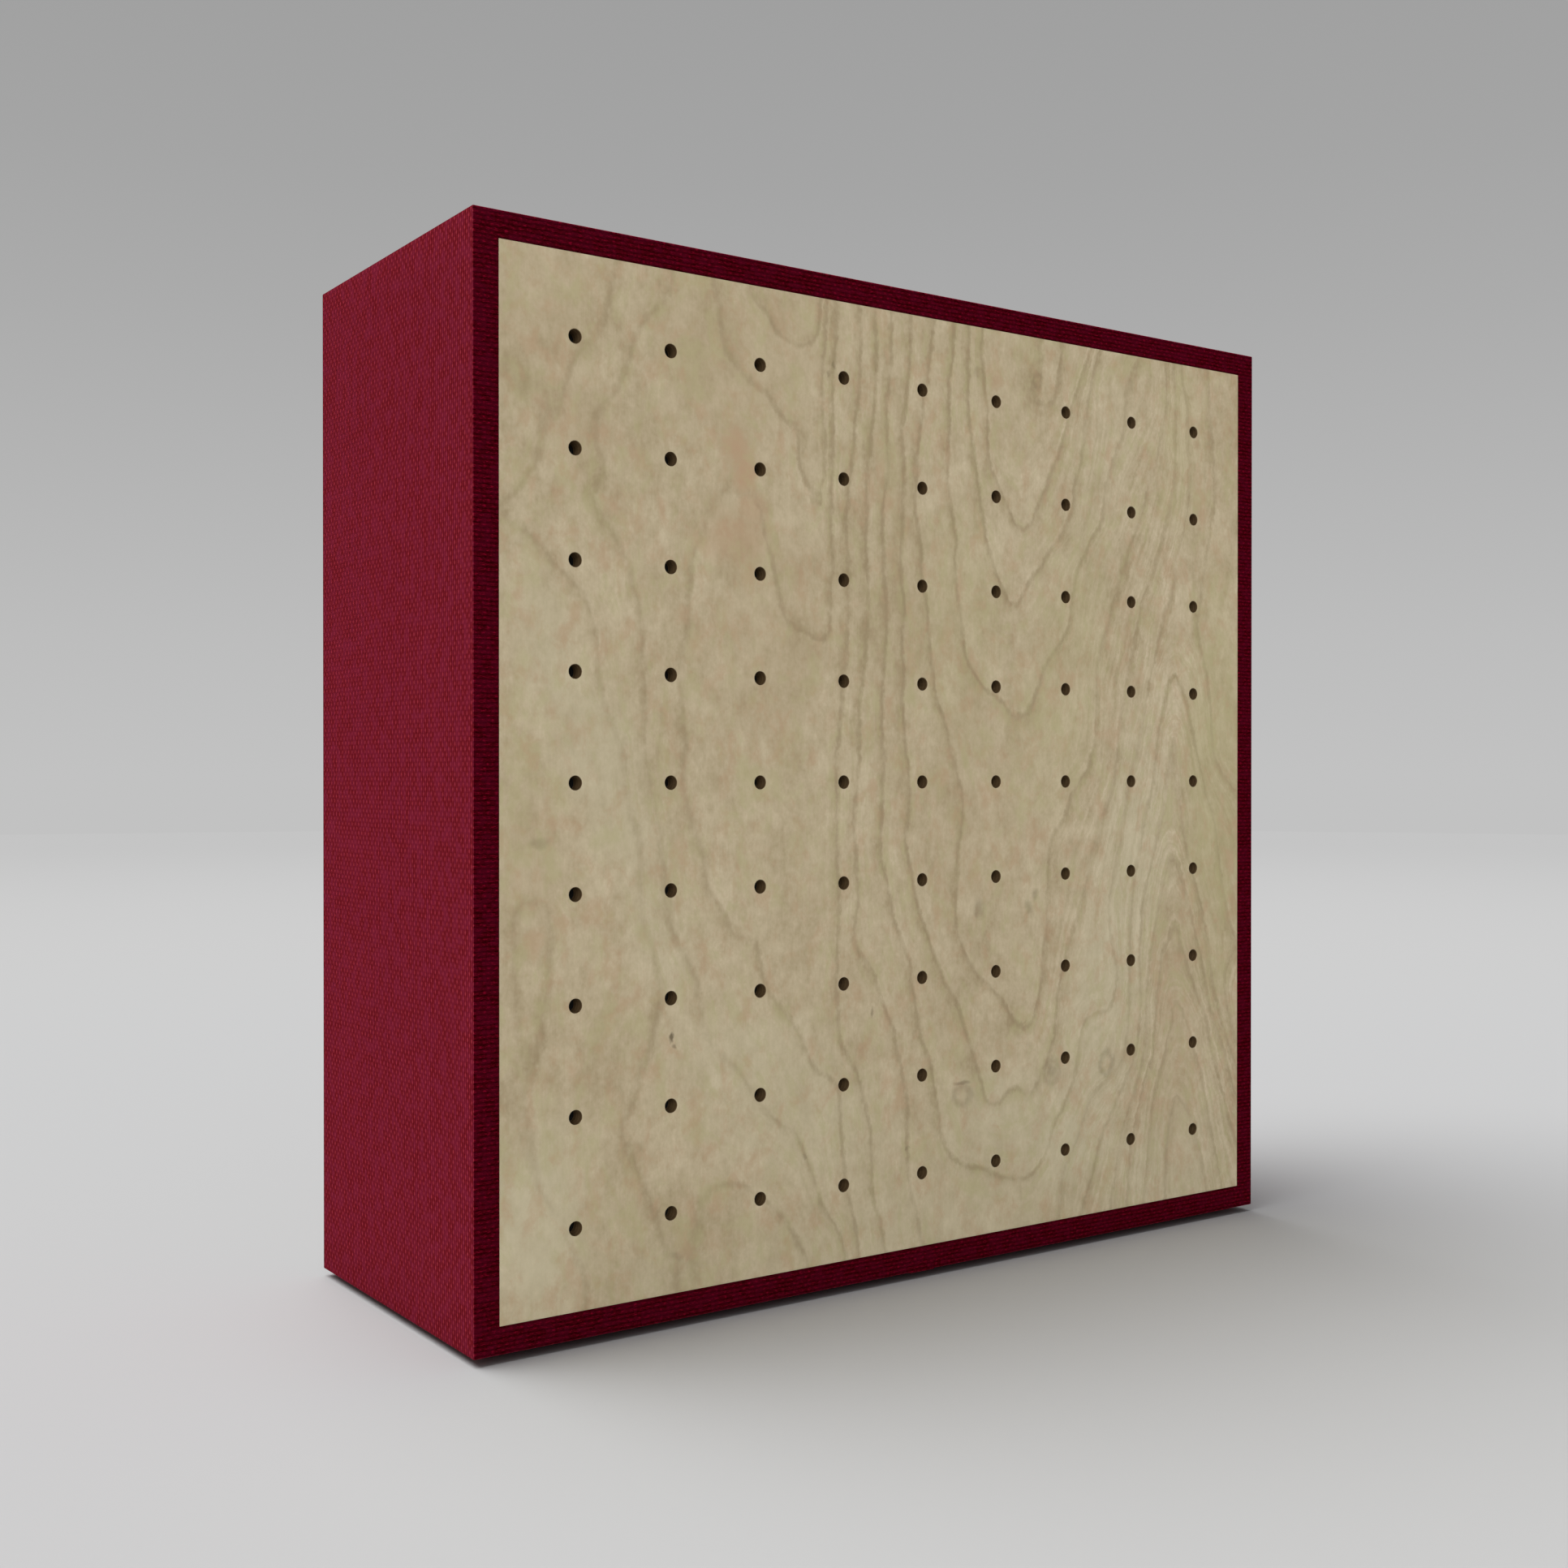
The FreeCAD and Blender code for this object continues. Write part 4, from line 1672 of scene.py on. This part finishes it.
@dataclass
class RubberFeet:
    """Four square rubber pads with rounded corners, each pressed over a sunk screw hole."""

    nodes: tuple[str, ...] = (
        "foot_front_left",
        "foot_front_right",
        "foot_back_left",
        "foot_back_right",
    )
    corner: float = 2.5 * MM
    least_corner: float = 0.6 * MM
    corner_loss: float = 0.4
    hole_roundness: float = 0.98
    corner_turns: int = 6
    stations: tuple[float, ...] = (0.0, 0.25, 0.5, 0.75, 1.0)
    hole: tuple[tuple[float, float], ...] = ((6.5, 0.9), (4.6, 0.9), (4.2, 0.0))
    lower_edge: tuple[tuple[float, float], ...] = ((0.6, 0.0), (0.15, 0.25), (0.0, 0.7))
    upper_edge: tuple[tuple[float, float], ...] = ((0.0, -0.3), (0.3, 0.0))

    def pad(self, node: str) -> MeshMaker:
        """One pad: up out of the screw hole in its foot, and round its outside.

        Args:
            node: the node that it stands for.

        Returns:
            The pad's mesh.
        """
        low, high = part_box(node)
        middle = (low + high) / 2
        half, height = (high.x - low.x) / 2, high.z - low.z
        profile = []
        for reach, up in self.hole:
            profile.append((reach * MM, self.hole_roundness * reach * MM, up * MM))
        for edge, foot in ((self.lower_edge, 0.0), (self.upper_edge, height)):
            for inset, up in edge:
                corner = max(self.corner - self.corner_loss * inset * MM, self.least_corner)
                profile.append((half - inset * MM, corner, foot + up * MM))
        maker = MeshMaker()
        loops = []
        for reach, corner, up in profile:
            outline = rounded_square(reach, corner, self.corner_turns, [self.stations] * 4)
            loops.append(maker.loop((middle.x + a, middle.y + b, low.z + up) for a, b in outline))
        maker.skins(loops)
        maker.face(loops[0])
        maker.face(loops[-1])
        return maker

    def build(self) -> None:
        """Makes the four pads."""
        material = RUBBER_FINISH.build()
        for node in self.nodes:
            piece = self.pad(node).build("rubber_" + node, [material], crease=35.0)
            ride_as(piece, [node])


@dataclass
class PlainNodes:
    """The boards, the back, the fleece and the wool, whose solids are right as they are."""

    finishes: dict[str, SpeckledFinish] = field(
        default_factory=lambda: {
            "left_board": BOARD_FINISH,
            "right_board": BOARD_FINISH,
            "top_board": BOARD_FINISH,
            "bottom_board": BOARD_FINISH,
            "back_board": HARDBOARD_FINISH,
            "fleece_sheet": FLEECE_FINISH,
            "wool_slab_front": WOOL_FINISH,
            "wool_slab_rear": WOOL_FINISH,
        }
    )

    def build(self) -> None:
        """Gives each node its finish."""
        made: dict[str, bpy.types.Material] = {}
        for node, finish in self.finishes.items():
            if finish.name not in made:
                made[finish.name] = finish.build()
            for piece in [item for item in bpy.data.objects if item.get("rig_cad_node") == node]:
                if not piece.material_slots:
                    piece.data.materials.append(made[finish.name])
                for place in piece.material_slots:
                    place.material = made[finish.name]
                LOG.info("%s: %s", node, finish.name)


# One cloth in two copies: a lighter one with painted light for the sides, top and bottom, and a
# darker one with painted shade for the borders turned over the front and back edges.
SIDE_CLOTH_PAINTED_LIGHT = WeaveFinish(
    ClothLie.OVER_THE_SIDES,
    # valley: painted shade in the hollows; crown: painted highlight on the yarns.
    valley_painted_shade=(0.088, 0.0048, 0.0085),
    yarn=(0.190, 0.0115, 0.0200),
    crown=(0.350, 0.0350, 0.0500),
    bloom=(0.205, 0.0175, 0.0490),
    order=0.9,
)
EDGE_CLOTH_PAINTED_SHADE = WeaveFinish(
    ClothLie.TURNED_OVER_THE_EDGE,
    # valley: painted shade in the hollows; crown: painted highlight on the yarns.
    valley_painted_shade=(0.018, 0.0001, 0.0008),
    yarn=(0.060, 0.0009, 0.0046),
    crown=(0.225, 0.0030, 0.0190),
    bloom=(0.088, 0.0024, 0.0140),
    order=0.1,
)


# The studio


@dataclass
class Studio:
    """A pale floor and backdrop, soft light from behind the left, and the camera."""

    floor_colour: Colour = (0.560, 0.562, 0.565)
    floor_rings: tuple[float, ...] = (0.6, 2.0, 5.0, 9.0)
    floor_steps: int = 96
    fade_mm: tuple[float, float] = (900.0, 2300.0)
    haze_mm: tuple[float, float] = (1500.0, 7500.0)
    haze_near: float = 0.624
    haze_far: float = 0.556
    sky_light: float = 0.240
    key_light: float = 0.95
    key_from: Triple = (-0.325, 0.287, 1.0)
    key_spread: float = 56.0
    fill_light: float = 0.545
    fill_from: Triple = (-0.50, -0.83, 0.24)
    fill_spread: float = 50.0
    lens_mm: float = 41.595
    sensor_mm: float = 36.0
    nearest: float = 0.05
    farthest: float = 50.0
    camera_at: Triple = (-0.70425, -0.97108, 0.30921)
    camera_yaw: float = 0.607838
    camera_pitch: float = 0.0053712
    sky_stops: tuple[tuple[float, float], ...] = (
        (0.000, 0.560),
        (0.500, 0.539),
        (0.535, 0.509),
        (0.578, 0.456),
        (0.620, 0.407),
        (0.655, 0.374),
        (0.695, 0.352),
        (1.000, 0.300),
    )

    def floor(self) -> None:
        """A wide round floor that fades into the backdrop."""
        maker = MeshMaker()
        rings = [
            maker.loop((radius * x, radius * y, 0.0) for x, y in circle(self.floor_steps))
            for radius in self.floor_rings
        ]
        maker.face(rings[0])
        maker.skins(rings)
        material, shader = new_material("pale_floor")
        place = shader.millimetres()
        x, y, _ = shader.parts(place)
        distance = (x * x + y * y) ** 0.5
        fade = distance.rise(*self.fade_mm) * shader.seen()
        matt = {"Color": (*self.floor_colour, 1.0)}
        near = shader.node("ShaderNodeBsdfDiffuse", None, matt).outputs[0]
        haze = distance.rise(*self.haze_mm)
        far_colour = shader.blend(haze, (self.haze_near,) * 3, (self.haze_far,) * 3)
        far = shader.node("ShaderNodeEmission", None, {"Color": far_colour}).outputs[0]
        mixed = shader.node("ShaderNodeMixShader", None, {0: fade, 1: near, 2: far}).outputs[0]
        shader.node("ShaderNodeOutputMaterial", None, {"Surface": mixed})
        self.ground = maker.build("studio_floor", [material])

    def sky(self) -> None:
        """Even light all round, and a soft grey fall-off where the camera or gloss sees it."""
        world = bpy.data.worlds.new("studio")
        bpy.context.scene.world = world
        shader = Shader(world)
        direction = shader.node("ShaderNodeTexCoord").outputs["Generated"]
        height = shader.parts(direction)[2] * 0.5 + 0.5
        ramp = shader.node(
            "ShaderNodeValToRGB",
            {"stops": [(place, (grey, grey, grey)) for place, grey in self.sky_stops]},
            {0: height},
        )
        backdrop = shader.node("ShaderNodeBackground", None, {"Color": ramp.outputs[0]}).outputs[0]
        even = {"Color": (1.0, 1.0, 1.0, 1.0), "Strength": self.sky_light}
        light = shader.node("ShaderNodeBackground", None, even).outputs[0]
        sockets = {0: shader.seen(), 1: light, 2: backdrop}
        mixed = shader.node("ShaderNodeMixShader", None, sockets).outputs[0]
        shader.node("ShaderNodeOutputWorld", None, {"Surface": mixed})

    def lamp(self, name: str, level: float, towards: Triple, spread: float) -> bpy.types.Object:
        """One far soft lamp.

        Args:
            name: the lamp's name.
            level: the brightness of a white sheet that faces it.
            towards: the direction in which the lamp stands.
            spread: how wide it looks from the box, in degrees.

        Returns:
            The lamp.
        """
        lamp = bpy.data.lights.new(name, "SUN")
        lamp.energy = level * math.pi
        lamp.angle = math.radians(spread)
        item = add_to_scene(name, lamp)
        item.rotation_mode = "QUATERNION"
        item.rotation_quaternion = Vector(towards).to_track_quat("Z", "Y")
        return item

    def keep_off_floor(self, lamp: bpy.types.Object) -> None:
        """Lets a lamp light the box alone, so that the floor under it stays dark.

        Args:
            lamp: the lamp.
        """
        passed = bpy.data.collections.new(lamp.name + "_passes")
        passed.objects.link(self.ground)
        passed.collection_objects[0].light_linking.link_state = "EXCLUDE"
        lamp.light_linking.receiver_collection = passed

    def camera(self) -> None:
        """The camera at the photograph's place."""
        data = bpy.data.cameras.new("camera")
        data.lens = self.lens_mm
        data.sensor_width = self.sensor_mm
        data.clip_start, data.clip_end = self.nearest, self.farthest
        item = add_to_scene("camera", data)
        yaw, pitch = self.camera_yaw, self.camera_pitch
        flat = math.cos(pitch)
        ahead = Vector((math.sin(yaw) * flat, math.cos(yaw) * flat, -math.sin(pitch)))
        item.location = self.camera_at
        item.rotation_mode = "QUATERNION"
        item.rotation_quaternion = ahead.to_track_quat("-Z", "Y")
        bpy.context.scene.camera = item

    def build(self) -> None:
        """Sets up the whole studio."""
        self.floor()
        self.sky()
        self.lamp("key", self.key_light, self.key_from, self.key_spread)
        fill = self.lamp("fill", self.fill_light, self.fill_from, self.fill_spread)
        self.keep_off_floor(fill)
        self.camera()
        bpy.context.scene.view_settings.view_transform = "Standard"


def main() -> None:
    """Builds the bass trap and its studio in order."""
    logging.basicConfig(level=logging.INFO, format="%(message)s")
    Studio().build()
    FrontPanel().build()
    CoverCloth().build()
    PlainNodes().build()
    BackScrews().build()
    RubberFeet().build()


if __name__ == "__main__":
    main()
